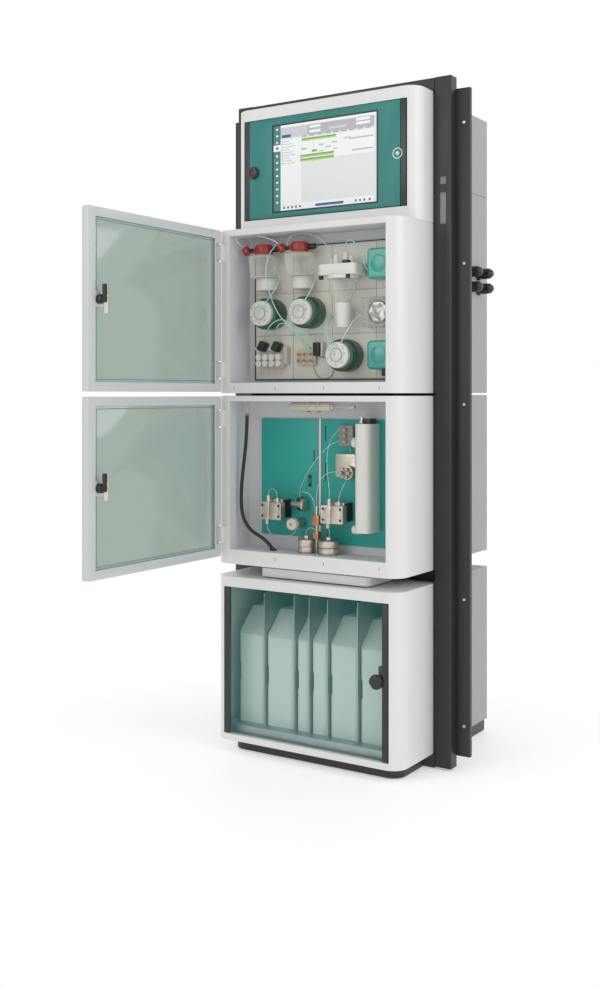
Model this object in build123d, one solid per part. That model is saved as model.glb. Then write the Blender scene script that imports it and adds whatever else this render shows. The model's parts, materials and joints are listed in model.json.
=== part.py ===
from build123d import *
import math
import os

os.makedirs("parts", exist_ok=True)

# Floor-standing ion chromatography analyzer: a dark steel frame that carries four cabinets.
# X runs to the right, Y to the back and Z up. The origin lies on the floor under the middle
# of the overall box, with the two wet-part doors standing open as the machine is shown.

# Cabinets
cabinet_width = 600
corner_radius = 45
edge_radius = 2.5
sheet = 2
rear_depth = 632
door_reach = 578
front_y = (door_reach - rear_depth) / 2
display_setback = 104
compartment_depth = 105

# Levels above the floor
plinth_height = 40
reagent_height = 473
tray_gap = 36
lower_height = 485
seam_gap = 7
upper_height = 472
display_height = 367
crossbar_height = 36
reagent_bottom = plinth_height
reagent_top = reagent_bottom + reagent_height
lower_bottom = reagent_top + tray_gap
lower_top = lower_bottom + lower_height
upper_bottom = lower_top + seam_gap
upper_top = upper_bottom + upper_height
display_bottom = upper_top
display_top = display_bottom + display_height
frame_top = display_top + crossbar_height

# Steel frame
column_width = 50
column_gap = 5
column_wall = 3
column_face_depth = 200
plate_depth = 240
plate_thickness = 3
plate_width = 786
plate_return = 12
plate_foot_gap = 36
column_foot_gap = 7
plinth_width = 544
plinth_setback = 50
plinth_wall = 3
plinth_floor_gap = 3
column_inner_x = cabinet_width / 2 + column_gap
column_outer_x = column_inner_x + column_width
column_face_y = front_y + column_face_depth
plate_y = front_y + plate_depth
plate_back_y = plate_y + plate_thickness
rear_y = front_y + rear_depth

# Running fits
pin_clearance = 0.05
seat_gap = 0.3


def box(x0, x1, y0, y1, z0, z1):
    """Block between two corners."""
    size = Box(x1 - x0, y1 - y0, z1 - z0)
    return Pos((x0 + x1) / 2, (y0 + y1) / 2, (z0 + z1) / 2) * size


def rod_x(x0, x1, y, z, radius):
    """Round bar along X."""
    bar = Rot(0, 90, 0) * Cylinder(radius, x1 - x0)
    return Pos((x0 + x1) / 2, y, z) * bar


def rod_y(x, y0, y1, z, radius):
    """Round bar along Y."""
    bar = Rot(90, 0, 0) * Cylinder(radius, y1 - y0)
    return Pos(x, (y0 + y1) / 2, z) * bar


def rod_z(x, y, z0, z1, radius):
    """Upright round bar."""
    return Pos(x, y, (z0 + z1) / 2) * Cylinder(radius, z1 - z0)


def turned_z(x, y, profile):
    """Solid of revolution about an upright axis, from (radius, height) points."""
    outline = Polyline(*[(r, z) for r, z in profile], close=True)
    face = make_face(Plane.XZ * outline)
    return Pos(x, y, 0) * revolve(face, Axis.Z)


def turned_y(x, z, profile):
    """Solid of revolution about a front-to-back axis, from (radius, depth) points."""
    outline = Polyline(*[(r, y) for r, y in profile], close=True)
    face = make_face(Plane.XY * outline)
    return Pos(x, 0, z) * revolve(face, Axis.Y)


def rounded_box(x0, x1, y0, y1, z0, z1, radius, axis):
    """Block whose edges along one axis are rounded."""
    block = box(x0, x1, y0, y1, z0, z1)
    return fillet(block.edges().filter_by(axis), radius)


def save(name, *solids):
    """Write one sub-part, which may be a group of separate solids."""
    shapes = [s for solid in solids for s in solid.solids()]
    part = shapes[0] if len(shapes) == 1 else Compound(shapes)
    part.label = name
    export_step(part, f"parts/{name}.step")


# Plinth: a folded tray, open below, with a cross ear that reaches each column
plinth_radius = 40
ear_drop = 33
plinth_front_y = front_y + plinth_setback
plinth_back_y = rear_y - 4


def plinth_form(inset, z0, z1):
    """Outline of the plinth with its two front corners rounded."""
    half = plinth_width / 2 - inset
    body = box(-half, half, plinth_front_y + inset, plinth_back_y - inset, z0, z1)
    front_corners = body.edges().filter_by(Axis.Z).group_by(Axis.Y)[0]
    body = fillet(front_corners, plinth_radius - inset)
    ear_half = column_inner_x - inset
    return body + box(-ear_half, ear_half, column_face_y + inset, plate_y - inset, z0, z1)


plinth = plinth_form(0, plinth_floor_gap, plinth_height)
plinth -= plinth_form(plinth_wall, plinth_floor_gap - 1, plinth_height - plinth_wall)
save("plinth", plinth)

# Levelling feet: a pad and a threaded stem up to the plinth's top plate
foot_radius = 25
foot_pad_height = 9
foot_stem_radius = 6
foot_inset = 45
foot_x = plinth_width / 2 - foot_inset
foot_places = [
    (side * foot_x, y)
    for side in (-1, 1)
    for y in (plinth_front_y + foot_inset, plinth_back_y - foot_inset)
]
stem_top = plinth_height - plinth_wall
feet = []
for x, y in foot_places:
    profile = [
        (0, 0),
        (foot_radius, 0),
        (foot_radius, foot_pad_height - 3),
        (foot_stem_radius + 6, foot_pad_height),
        (foot_stem_radius + 6, foot_pad_height + 8),
        (foot_stem_radius, foot_pad_height + 8),
        (foot_stem_radius, stem_top),
        (0, stem_top),
    ]
    feet.append(turned_z(x, y, profile))
save("levelling_feet", *feet)

# Columns: square tube, the right one with two slots in its face
slot_width = 20
slot_spans = [(display_bottom - 5, display_bottom + 83), (display_bottom + 105, display_bottom + 127)]


def column(side):
    """One upright of the frame, with a thin wall and closed at the top by the crossbar level."""
    inner = side * column_inner_x
    outer = side * column_outer_x
    x0, x1 = sorted((inner, outer))
    tube = rounded_box(x0, x1, column_face_y, plate_y, column_foot_gap, frame_top, 3, Axis.Z)
    bore = box(
        x0 + column_wall, x1 - column_wall,
        column_face_y + column_wall, plate_y - column_wall,
        column_foot_gap - 1, frame_top - column_wall,
    )
    return tube - bore


save("left_column", column(-1))
right_column = column(1)
for z0, z1 in slot_spans:
    slot_x = (column_inner_x + column_outer_x) / 2
    cutter = box(
        slot_x - slot_width / 2, slot_x + slot_width / 2,
        column_face_y - 1, column_face_y + column_wall + 1, z0, z1,
    )
    right_column -= cutter
save("right_column", right_column)

# Crossbar over the display cabinet, between the columns
crossbar = rounded_box(
    -column_inner_x, column_inner_x, column_face_y, plate_y, display_top, frame_top, 4, Axis.X
)
crossbar -= box(
    -column_inner_x - 1, column_inner_x + 1,
    column_face_y + column_wall, plate_y - column_wall,
    display_top + column_wall, frame_top - column_wall,
)
save("top_crossbar", crossbar)

# Back plate: a sheet with folded edges, notched over the plinth
plate_top = frame_top - 30
plate_half = plate_width / 2
back_plate = box(-plate_half, plate_half, plate_y, plate_back_y + plate_return, plate_foot_gap, plate_top)
back_plate -= box(
    -plate_half + plate_thickness, plate_half - plate_thickness,
    plate_back_y, plate_back_y + plate_return + 1,
    plate_foot_gap + plate_thickness, plate_top - plate_thickness,
)
plate_notch_half = plinth_width / 2 + 1
back_plate -= box(
    -plate_notch_half, plate_notch_half, plate_y - 1, plate_back_y + plate_return + 1,
    plate_foot_gap - 1, plinth_height,
)
save("back_plate", back_plate)

# Rear enclosures: four sheet boxes, open towards the back plate
enclosure_width = 560
enclosure_wall = 2
enclosure_seam = 1
enclosure_radius = 4
enclosure_split = upper_top + 128
enclosure_top = display_top - 3
enclosure_spans = [
    (reagent_bottom, reagent_top - 4),
    (lower_bottom + 10, lower_top + 2),
    (upper_bottom + 1, enclosure_split),
    (enclosure_split + enclosure_seam, enclosure_top),
]
enclosures = []
for z0, z1 in enclosure_spans:
    half = enclosure_width / 2
    shell = box(-half, half, plate_back_y, rear_y, z0, z1)
    rear_edges = shell.faces().sort_by(Axis.Y)[-1].edges()
    shell = fillet(rear_edges, enclosure_radius)
    shell -= box(
        -half + enclosure_wall, half - enclosure_wall,
        plate_back_y - 1, rear_y - enclosure_wall,
        z0 + enclosure_wall, z1 - enclosure_wall,
    )
    enclosures.append(shell)

# Cooling louvres in the rear face of each enclosure
louvre_count = 6
louvre_pitch = 16
louvre_width = 200
louvre_height = 5
for index, (z0, z1) in enumerate(enclosure_spans):
    mid = (z0 + z1) / 2
    for row in range(louvre_count):
        z = mid + (row - (louvre_count - 1) / 2) * louvre_pitch
        enclosures[index] -= box(
            -louvre_width / 2, louvre_width / 2, rear_y - enclosure_wall - 1, rear_y + 1,
            z, z + louvre_height,
        )
save("rear_enclosures", *enclosures)

# Cable glands in the right wall of the upper enclosure, closed by domed nuts
gland_rows = [upper_top - 156, upper_top - 111]
gland_depths = [476, 557]
gland_hex = 33
gland_length = 50
glands = []
for z in gland_rows:
    for depth in gland_depths:
        x0 = enclosure_width / 2
        nut = extrude(RegularPolygon(gland_hex / 2, 6, major_radius=False), 9)
        nut = Pos(x0, front_y + depth, z) * (Rot(0, 90, 0) * nut)
        profile = [
            (0, 9), (13, 9), (13, 14), (16, 14), (16, 34), (15, 40), (11, 46), (7, gland_length),
            (0, gland_length),
        ]
        outline = make_face(Plane.XZ * Polyline(*profile, close=True))
        dome = revolve(outline, Axis.Z)
        dome = Pos(x0, front_y + depth, z) * (Rot(0, 90, 0) * dome)
        glands.append(nut + dome)
save("cable_glands", *glands)


def cabinet_form(y0, z0, z1, inset=0.0):
    """Outer form of a cabinet: rounded front corners and softened top and bottom edges."""
    half = cabinet_width / 2 - inset
    body = box(-half, half, y0 + inset, plate_y, z0 + inset, z1 - inset)
    front_corners = body.edges().filter_by(Axis.Z).group_by(Axis.Y)[0]
    body = fillet(front_corners, corner_radius - inset)
    if inset == 0:
        rims = [
            e for e in body.edges()
            if min(abs(e.center().Z - z0), abs(e.center().Z - z1)) < 1e-6
            and abs(e.center().Y - plate_y) > 1e-6
        ]
        body = fillet(rims, edge_radius)
    return body


def cabinet_shell(y0, z0, z1, opening, return_depth):
    """Sheet cabinet, open at the back, with a front opening and its folded return."""
    x0, x1, za, zb = opening
    outer = cabinet_form(y0, z0, z1)
    hollow = cabinet_form(y0, z0, z1, sheet)
    hollow += box(
        -cabinet_width / 2 + sheet, cabinet_width / 2 - sheet, plate_y - 20, plate_y + 1,
        z0 + sheet, z1 - sheet,
    )
    shell = outer - hollow
    if return_depth:
        ring = box(x0 - sheet, x1 + sheet, y0, y0 + return_depth, za - sheet, zb + sheet)
        shell += ring & outer
    return shell - box(x0, x1, y0 - 1, y0 + max(return_depth, sheet) + 1, za, zb)


# Front openings: left, right, bottom and top
inset_margin = 31.5
wet_left = 52 - cabinet_width / 2
wet_right = cabinet_width / 2 - 42
inset_left = inset_margin - cabinet_width / 2
inset_right = cabinet_width / 2 - inset_margin
display_opening = (inset_left, inset_right, display_bottom + 38, display_top - 34)
upper_opening = (wet_left, wet_right, upper_bottom + 30, upper_top - 19)
lower_opening = (wet_left, wet_right, lower_bottom + 42, lower_top - 16)
reagent_opening = (inset_left, inset_right - 2, reagent_bottom + 19, reagent_top - 30)
return_depth = 16

display_y = front_y + display_setback
inset_hinge_radius = 3
inset_hinge_hole = inset_hinge_radius + pin_clearance
inset_hinge_depth = 7
inset_hinge_inset = 10.5

display_housing = cabinet_shell(display_y, display_bottom, display_top, display_opening, return_depth)
display_hinge_x = display_opening[1] - inset_hinge_inset
display_hinge_y = display_y + inset_hinge_depth
display_housing -= rod_z(
    display_hinge_x, display_hinge_y,
    display_opening[2] - sheet - 1, display_opening[3] + sheet + 1, inset_hinge_hole,
)
save("display_housing", display_housing)

save("upper_wet_housing", cabinet_shell(front_y, upper_bottom, upper_top, upper_opening, 0))
save("lower_wet_housing", cabinet_shell(front_y, lower_bottom, lower_top, lower_opening, 0))

reagent_housing = cabinet_shell(front_y, reagent_bottom, reagent_top, reagent_opening, return_depth)
reagent_hinge_x = reagent_opening[0] + inset_hinge_inset
reagent_hinge_y = front_y + inset_hinge_depth
reagent_housing -= rod_z(
    reagent_hinge_x, reagent_hinge_y,
    reagent_opening[2] - sheet - 1, reagent_opening[3] + sheet + 1, inset_hinge_hole,
)
save("reagent_housing", reagent_housing)

# Wet-part doors, drawn shut and then swung open about their hinges
door_width = 570
door_thickness = 20
door_gap = 3
door_stile = 28
door_rail = 24
door_lip = 3
door_rebate = 6
pane_thickness = 6
bead_depth = 6
hinge_x = -door_width / 2 + 4
hinge_y = front_y - 12
open_turn = -90
door_inner_y = front_y - door_gap
door_outer_y = door_inner_y - door_thickness
upper_door_span = (upper_bottom + 4, upper_top - 2)
lower_door_span = (lower_bottom + 21, lower_top - 2)

# Door hinges: a bracket on the cabinet front with a barrel and a through pin
knuckle_radius = 5
knuckle_height = 46
knuckle_play = 3
hinge_pin_radius = 2.5
hinge_pin_grip = 12
hinge_inset = 64
bracket_thickness = 4.5
bracket_clearance = 1.5
notch_right_x = -door_width / 2 + door_stile - door_rebate
bracket_right_x = notch_right_x - bracket_clearance
bracket_foot_x = bracket_right_x - bracket_thickness

# Latches: quarter-turn cams near the free edge of each door
latch_inset = 40
latch_x = door_width / 2 - latch_inset
latch_stem_radius = 8
latch_collar_radius = 12
latch_knob_radius = 17
latch_pad_height = 40
cam_standoff = 18
cam_thickness = 4
cam_half_width = 7
cam_reach = 38


def swung(shape):
    """Turn a piece from the shut position to the open one, about the door's hinge axis."""
    return shape.rotate(Axis((hinge_x, hinge_y, 0), (0, 0, 1)), open_turn)


def hinge_levels(span):
    """Heights of a door's two hinges."""
    return (span[0] + hinge_inset, span[1] - hinge_inset)


def pane_size(span, lap):
    """Left, right, bottom and top of the pane's opening, widened by a lap."""
    half = door_width / 2 - door_stile + lap
    return (-half, half, span[0] + door_rail - lap, span[1] - door_rail + lap)


def door_frame(span):
    """Door frame with a rebate for its pane, a pad for the latch and notches for the hinges."""
    z0, z1 = span
    frame = box(-door_width / 2, door_width / 2, door_outer_y, door_inner_y, z0, z1)
    frame = fillet(frame.edges().filter_by(Axis.Y), 4)
    left, right, low, high = pane_size(span, 0)
    window = box(left, right, door_outer_y - 1, door_inner_y + 1, low, high)
    latch_z = (z0 + z1) / 2
    half_pad = latch_pad_height / 2
    window -= box(
        latch_x - latch_collar_radius - 6, right + 1,
        door_inner_y - door_lip, door_inner_y, latch_z - half_pad, latch_z + half_pad,
    )
    frame -= window
    left, right, low, high = pane_size(span, door_rebate)
    frame -= box(left, right, door_outer_y - 1, door_inner_y - door_lip, low, high)
    frame -= rod_y(latch_x, door_inner_y - door_lip - 1, door_inner_y + 1, latch_z,
                   latch_stem_radius + pin_clearance)
    for z in hinge_levels(span):
        half = knuckle_height / 2 + knuckle_play
        frame -= box(
            -door_width / 2 - 1, notch_right_x, hinge_y - 6.5, door_inner_y + 1,
            z - half, z + half,
        )
        grip = half + hinge_pin_grip + 1
        frame -= rod_z(hinge_x, hinge_y, z - grip, z + grip, hinge_pin_radius + pin_clearance)
    return swung(frame)


def glazing_bead(span):
    """Ring behind the pane that keeps it in its rebate."""
    left, right, low, high = pane_size(span, door_rebate)
    y1 = door_inner_y - door_lip - pane_thickness
    ring = box(left, right, y1 - bead_depth, y1, low, high)
    left, right, low, high = pane_size(span, 0)
    return swung(ring - box(left, right, y1 - bead_depth - 1, y1 + 1, low, high))


def door_pane(span):
    """Glass pane with a hole for the latch stem."""
    left, right, low, high = pane_size(span, door_rebate - 0.5)
    y1 = door_inner_y - door_lip
    pane = box(left, right, y1 - pane_thickness, y1, low, high)
    pane -= rod_y(latch_x, y1 - pane_thickness - 1, y1 + 1, sum(span) / 2, latch_stem_radius + 1)
    return swung(pane)


def door_latch(span):
    """Outer knob, stem and inner cam, which turn together."""
    z = sum(span) / 2
    pane_outer_y = door_inner_y - door_lip - pane_thickness
    cam_y = door_inner_y + cam_standoff
    knob_profile = [
        (0, pane_outer_y - 30), (13, pane_outer_y - 30), (latch_knob_radius, pane_outer_y - 26),
        (latch_knob_radius, pane_outer_y - 14), (latch_collar_radius, pane_outer_y - 11),
        (latch_collar_radius, pane_outer_y - seat_gap), (latch_stem_radius, pane_outer_y - seat_gap),
        (latch_stem_radius, door_inner_y + seat_gap), (latch_collar_radius, door_inner_y + seat_gap),
        (latch_collar_radius, door_inner_y + 11), (6, door_inner_y + 13), (6, cam_y + cam_thickness),
        (0, cam_y + cam_thickness),
    ]
    latch = turned_y(latch_x, z, knob_profile)
    for turn in range(6):
        angle = math.radians(60 * turn)
        x = latch_x + latch_knob_radius * math.cos(angle)
        cut_z = z + latch_knob_radius * math.sin(angle)
        latch -= rod_y(x, pane_outer_y - 31, pane_outer_y - 13, cut_z, 4)
    cam = rounded_box(
        latch_x - cam_half_width, latch_x + cam_half_width, cam_y, cam_y + cam_thickness,
        z - 9, z + cam_reach, 4, Axis.Y,
    )
    screw = rod_y(latch_x, cam_y + cam_thickness, cam_y + cam_thickness + 3, z, 5)
    return swung(latch + cam + screw)


def hinge_bracket(span, z):
    """Fixed half of a door hinge: foot, arm, barrel and pin."""
    half = knuckle_height / 2
    barrel = rod_z(hinge_x, hinge_y, z - half, z + half, knuckle_radius)
    arm = box(hinge_x, bracket_right_x, hinge_y - 3.5, hinge_y + 3.5, z - half, z + half)
    foot = box(bracket_foot_x, bracket_right_x, hinge_y - 3.5, front_y + 4, z - half, z + half)
    bracket = barrel + arm + foot
    grip = half + knuckle_play + hinge_pin_grip
    bracket += rod_z(hinge_x, hinge_y, z - grip, z + grip, hinge_pin_radius)
    cabinet = cabinet_form(front_y, span[0] - 30, span[1] + 30)
    return bracket - cabinet


save("upper_door_frame", door_frame(upper_door_span), glazing_bead(upper_door_span))
save("upper_door_glass", door_pane(upper_door_span))
save("upper_door_latch", door_latch(upper_door_span))
save("middle_door_frame", door_frame(lower_door_span), glazing_bead(lower_door_span))
save("middle_door_glass", door_pane(lower_door_span))
save("middle_door_latch", door_latch(lower_door_span))
brackets = []
for span in (upper_door_span, lower_door_span):
    for z in hinge_levels(span):
        brackets.append(hinge_bracket(span, z))
save("door_hinges", *brackets)

# Liners: open-fronted trays inside the wet cabinets, with a slot for the latch cam
liner_back_y = front_y + compartment_depth


def liner(opening, span, cabinet_span):
    """Folded inner box behind a wet cabinet's opening, cut to fit its rounded corners."""
    x0, x1, z0, z1 = opening
    tray = box(x0 - sheet, x1 + sheet, front_y + sheet, liner_back_y + sheet, z0 - sheet, z1 + sheet)
    tray -= box(x0, x1, front_y, liner_back_y, z0, z1)
    cam_y = door_inner_y + cam_standoff
    latch_z = sum(span) / 2
    tray -= box(x1 - 1, x1 + sheet + 1, cam_y - 4, cam_y + cam_thickness + 7,
                latch_z - cam_half_width - 5, latch_z + cam_reach + 4)
    return tray & cabinet_form(front_y, cabinet_span[0], cabinet_span[1], sheet)


save("upper_liner", liner(upper_opening, upper_door_span, (upper_bottom, upper_top)))
save("lower_liner", liner(lower_opening, lower_door_span, (lower_bottom, lower_top)))

# Drip tray under the lower wet cabinet
tray_width = 352
tray_depth = 150
tray_height = 24
tray_radius = 18
tray_wall = 2
tray_left = -162
tray_front_y = front_y + 30
tray_bottom = reagent_top + 4
tray_top = tray_bottom + tray_height
drip_tray = rounded_box(
    tray_left, tray_left + tray_width, tray_front_y, tray_front_y + tray_depth,
    tray_bottom, tray_top, tray_radius, Axis.Z,
)
drip_tray += box(
    tray_left + 20, tray_left + tray_width - 20, tray_front_y + 20, tray_front_y + tray_depth - 20,
    tray_top, lower_bottom,
)
drip_tray -= box(
    tray_left + 24, tray_left + tray_width - 24, tray_front_y + 24, tray_front_y + tray_depth - 24,
    tray_bottom + tray_wall, lower_bottom + 1,
)
save("drip_tray", drip_tray)


# Inset doors: two dark stiles that carry a panel, on pivot pins at one side
inset_stile = 18
inset_gap = 2.5
inset_thickness = 12
inset_panel_thickness = 6


def inset_stiles(y0, opening, pivot_x, pivot_y):
    """Left and right stiles, with a pivot pin at each end of the hinge stile."""
    x0, x1, z0, z1 = opening
    x0, x1, z0, z1 = x0 + inset_gap, x1 - inset_gap, z0 + inset_gap, z1 - inset_gap
    y1 = y0 + inset_thickness
    stiles = []
    for left, right in ((x0, x0 + inset_stile), (x1 - inset_stile, x1)):
        stile = rounded_box(left, right, y0, y1, z0, z1, 3, Axis.Z)
        if left < pivot_x < right:
            pin_end = inset_gap + sheet
            stile += rod_z(pivot_x, pivot_y, z0 - pin_end, z1 + pin_end, inset_hinge_radius)
        stiles.append(stile)
    return stiles


def quarter_turn(x, z, face_y, panel_y, cam_y, knob_radius, lobes):
    """Front knob, stem and rear cam of an inset door's lock."""
    profile = [
        (0, face_y - 9), (knob_radius - 4, face_y - 9), (knob_radius, face_y - 6),
        (knob_radius, face_y - seat_gap), (8, face_y - seat_gap), (8, panel_y + seat_gap),
        (11, panel_y + seat_gap), (11, cam_y), (0, cam_y),
    ]
    lock = turned_y(x, z, profile)
    for lobe in range(lobes):
        angle = 2 * math.pi * lobe / lobes
        lock -= rod_y(x + (knob_radius + 1) * math.cos(angle), face_y - 10, face_y - 3,
                      z + (knob_radius + 1) * math.sin(angle), 5)
    return lock + rounded_box(x - 6, x + 6, cam_y, cam_y + 4, z - 8, z + 38, 4, Axis.Y)


# Display door: teal panel with the touch screen, hinged on the right
screen_left, screen_right = -165, 177
screen_low, screen_high = display_bottom + 57, display_bottom + 308
display_stiles = inset_stiles(display_y, display_opening, display_hinge_x, display_hinge_y)
save("display_door_profiles", *display_stiles)
panel_left = display_opening[0] + inset_gap + inset_stile
panel_right = display_opening[1] - inset_gap - inset_stile
panel_low = display_opening[2] + inset_gap
panel_high = display_opening[3] - inset_gap
lock_x = -233
lock_z = display_bottom + 178
display_panel = box(
    panel_left, panel_right, display_y, display_y + inset_panel_thickness, panel_low, panel_high
)
display_panel -= box(
    screen_left, screen_right, display_y - 1, display_y + inset_panel_thickness + 1,
    screen_low, screen_high,
)
display_panel -= rod_y(lock_x, display_y - 1, display_y + inset_panel_thickness + 1, lock_z,
                       8 + pin_clearance)
save("display_door_panel", display_panel)
display_cam_y = display_y + return_depth + 6
save("display_lock", quarter_turn(lock_x, lock_z, display_y, display_y + inset_panel_thickness,
                                  display_cam_y, 17.5, 0))

# Touch screen: a flat monitor whose glass fills the panel's window
screen_depth = 38
screen_flange = 12
touch_screen = box(
    screen_left, screen_right, display_y + 0.5, display_y + inset_panel_thickness,
    screen_low, screen_high,
)
touch_screen += rounded_box(
    screen_left - screen_flange, screen_right + screen_flange,
    display_y + inset_panel_thickness, display_y + screen_depth,
    screen_low - screen_flange, screen_high + screen_flange, 5, Axis.Y,
)
touch_screen -= box(
    screen_left + 40, screen_right - 40, display_y + screen_depth - 8, display_y + screen_depth + 1,
    screen_low + 40, screen_high - 40,
)
save("touch_screen", touch_screen)

# Electronics behind the display door
mount_y = plate_y
plate_front_y = mount_y - 2
electronics_plate = box(-240, 240, plate_front_y, mount_y, display_bottom + 25, display_top - 25)
rail_z = display_bottom + 62
rail = box(-225, 225, plate_front_y - 7, plate_front_y, rail_z - 13, rail_z + 13)
rail += box(-225, 225, plate_front_y - 8, plate_front_y - 7, rail_z - 17.5, rail_z + 17.5)
save("electronics_plate", electronics_plate + rail)
supply = box(-225, -85, plate_front_y - 44, plate_front_y, display_bottom + 120, display_bottom + 320)
for slot in range(7):
    z = display_bottom + 150 + slot * 20
    supply -= box(-205, -105, plate_front_y - 45, plate_front_y - 41, z, z + 6)
save("power_supply", supply)
controller = rounded_box(
    -50, 220, plate_front_y - 40, plate_front_y, display_bottom + 130, display_bottom + 310, 5, Axis.Y
)
for rib in range(9):
    x = -30 + rib * 27
    controller -= box(x, x + 12, plate_front_y - 41, plate_front_y - 32,
                      display_bottom + 200, display_bottom + 300)
save("controller", controller)
terminals = []
terminal_pitch = 12
terminal_count = 24
for index in range(terminal_count):
    x = -200 + index * terminal_pitch
    block = box(x, x + terminal_pitch - 1, plate_front_y - 44, plate_front_y - 8, rail_z - 28, rail_z + 28)
    block -= box(x - 1, x + terminal_pitch, plate_front_y - 45, plate_front_y - 30, rail_z + 14, rail_z + 29)
    terminals.append(block)
save("terminal_blocks", *terminals)

# Reagent door: tinted glass between dark stiles, hinged on the left
reagent_stiles = inset_stiles(front_y, reagent_opening, reagent_hinge_x, reagent_hinge_y)
save("reagent_door_profiles", *reagent_stiles)
glass_left = reagent_opening[0] + inset_gap + inset_stile
glass_right = reagent_opening[1] - inset_gap - inset_stile
glass_low = reagent_opening[2] + inset_gap
glass_high = reagent_opening[3] - inset_gap
reagent_lock_x = 231
reagent_lock_z = reagent_bottom + 232
reagent_glass = box(glass_left, glass_right, front_y, front_y + inset_panel_thickness, glass_low, glass_high)
reagent_glass -= rod_y(reagent_lock_x, front_y - 1, front_y + inset_panel_thickness + 1, reagent_lock_z,
                       8 + pin_clearance)
save("reagent_door_glass", reagent_glass)
reagent_cam_y = front_y + return_depth + 6
save("reagent_lock", quarter_turn(reagent_lock_x, reagent_lock_z, front_y, front_y + inset_panel_thickness,
                                  reagent_cam_y, 20, 5))

# Canister rack: a raised floor with upright partitions
rack_level = reagent_bottom + 40
rack_front_y = front_y + 30
rack_back_y = plate_y - 6
rack_half = cabinet_width / 2 - sheet - 1
rack_sheet = 2
canister_front_y = front_y + 70
canister_depth = 155
canister_edges = [-267, -170, -68, -18, 42, 138, 236]
rack = box(-rack_half, rack_half, rack_front_y, rack_back_y, reagent_bottom + sheet, rack_level)
rack -= box(
    -rack_half - 1, rack_half + 1, rack_front_y + rack_sheet, rack_back_y - rack_sheet,
    reagent_bottom, rack_level - rack_sheet,
)
rack &= cabinet_form(front_y, reagent_bottom, reagent_top, sheet)
for x in canister_edges[1:-1]:
    rack += box(x - 1, x + 1, canister_front_y - 6, rack_back_y, rack_level, rack_level + 383)
save("canister_rack", rack)

# Canisters: blow-moulded, with a sloping shoulder, a waisted grip and a threaded neck
canister_shoulder = 256
canister_crown = 326
canister_slope = 78
canister_gap = 3
waist_level = 112
waist_height = 66
waist_depth = 9
neck_radius_wide = 21
neck_radius_slim = 16
neck_height = 14
canisters = []
caps = []
for left, right in zip(canister_edges, canister_edges[1:]):
    x0 = left + canister_gap
    x1 = right - canister_gap
    y0 = canister_front_y
    y1 = canister_front_y + canister_depth
    base = rack_level
    side_view = Polyline(
        (y0, base), (y1, base), (y1, base + canister_crown - 12), (y1 - 12, base + canister_crown),
        (y0 + canister_slope, base + canister_crown), (y0 + 4, base + canister_shoulder),
        (y0, base + canister_shoulder - 12), close=True,
    )
    body = extrude(make_face(Plane.YZ * side_view), x1 - x0)
    body = Pos(x0, 0, 0) * body
    upright = [e for e in body.edges().filter_by(Axis.Z) if e.length > 100]
    body = fillet(upright, 14)
    low = base + waist_level
    high = low + waist_height
    for edge, side in ((x0, 1), (x1, -1)):
        inner = edge + side * waist_depth
        notch = Polyline(
            (edge - side, low - 2), (edge, low), (inner, low + waist_depth),
            (inner, high - waist_depth), (edge, high), (edge - side, high + 2), close=True,
        )
        body -= Pos(0, y1 + 1, 0) * extrude(make_face(Plane.XZ * notch), canister_depth + 2)
    neck_radius = neck_radius_wide if x1 - x0 > 70 else neck_radius_slim
    neck_x = (x0 + x1) / 2
    neck_y = y1 - 40
    crown = base + canister_crown
    body += rod_z(neck_x, neck_y, crown, crown + neck_height, neck_radius - 4)
    canisters.append(body)
    cap = turned_z(neck_x, neck_y, [
        (0, crown + neck_height), (neck_radius - 3.6, crown + neck_height),
        (neck_radius - 3.6, crown + 2), (neck_radius, crown + 2), (neck_radius, crown + 20),
        (neck_radius - 3, crown + 23), (5, crown + 23), (5, crown + 32), (0, crown + 32),
    ])
    caps.append(cap)
save("canisters", *canisters)
save("canister_caps", *caps)


def at(depth):
    """Y of a point at a depth behind the front plane."""
    return front_y + depth


# Mounting boards in the two wet compartments
board_thickness = 4
board_y = liner_back_y - board_thickness
upper_board_low = upper_opening[2] + 11
upper_board_high = upper_opening[3] - 32
upper_panel = box(-223, 236, board_y, liner_back_y, upper_board_low, upper_board_high)
for x in (-98, 24, 152):
    upper_panel -= box(x - 0.6, x + 0.6, board_y - 1, board_y + 1, upper_board_low - 1, upper_board_high + 1)
for z in (upper_bottom + 172, upper_bottom + 295):
    upper_panel -= box(-224, 237, board_y - 1, board_y + 1, z - 0.6, z + 0.6)
save("upper_panel", upper_panel)

lower_board_high = lower_opening[3] - 50
lower_panels = [
    rounded_box(-203, -8, board_y, liner_back_y, lower_opening[2] + 39, lower_board_high, 3, Axis.Y),
    rounded_box(2, 236, board_y, liner_back_y, lower_opening[2] + 24, lower_board_high, 3, Axis.Y),
]
save("lower_panels", *lower_panels)

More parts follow.
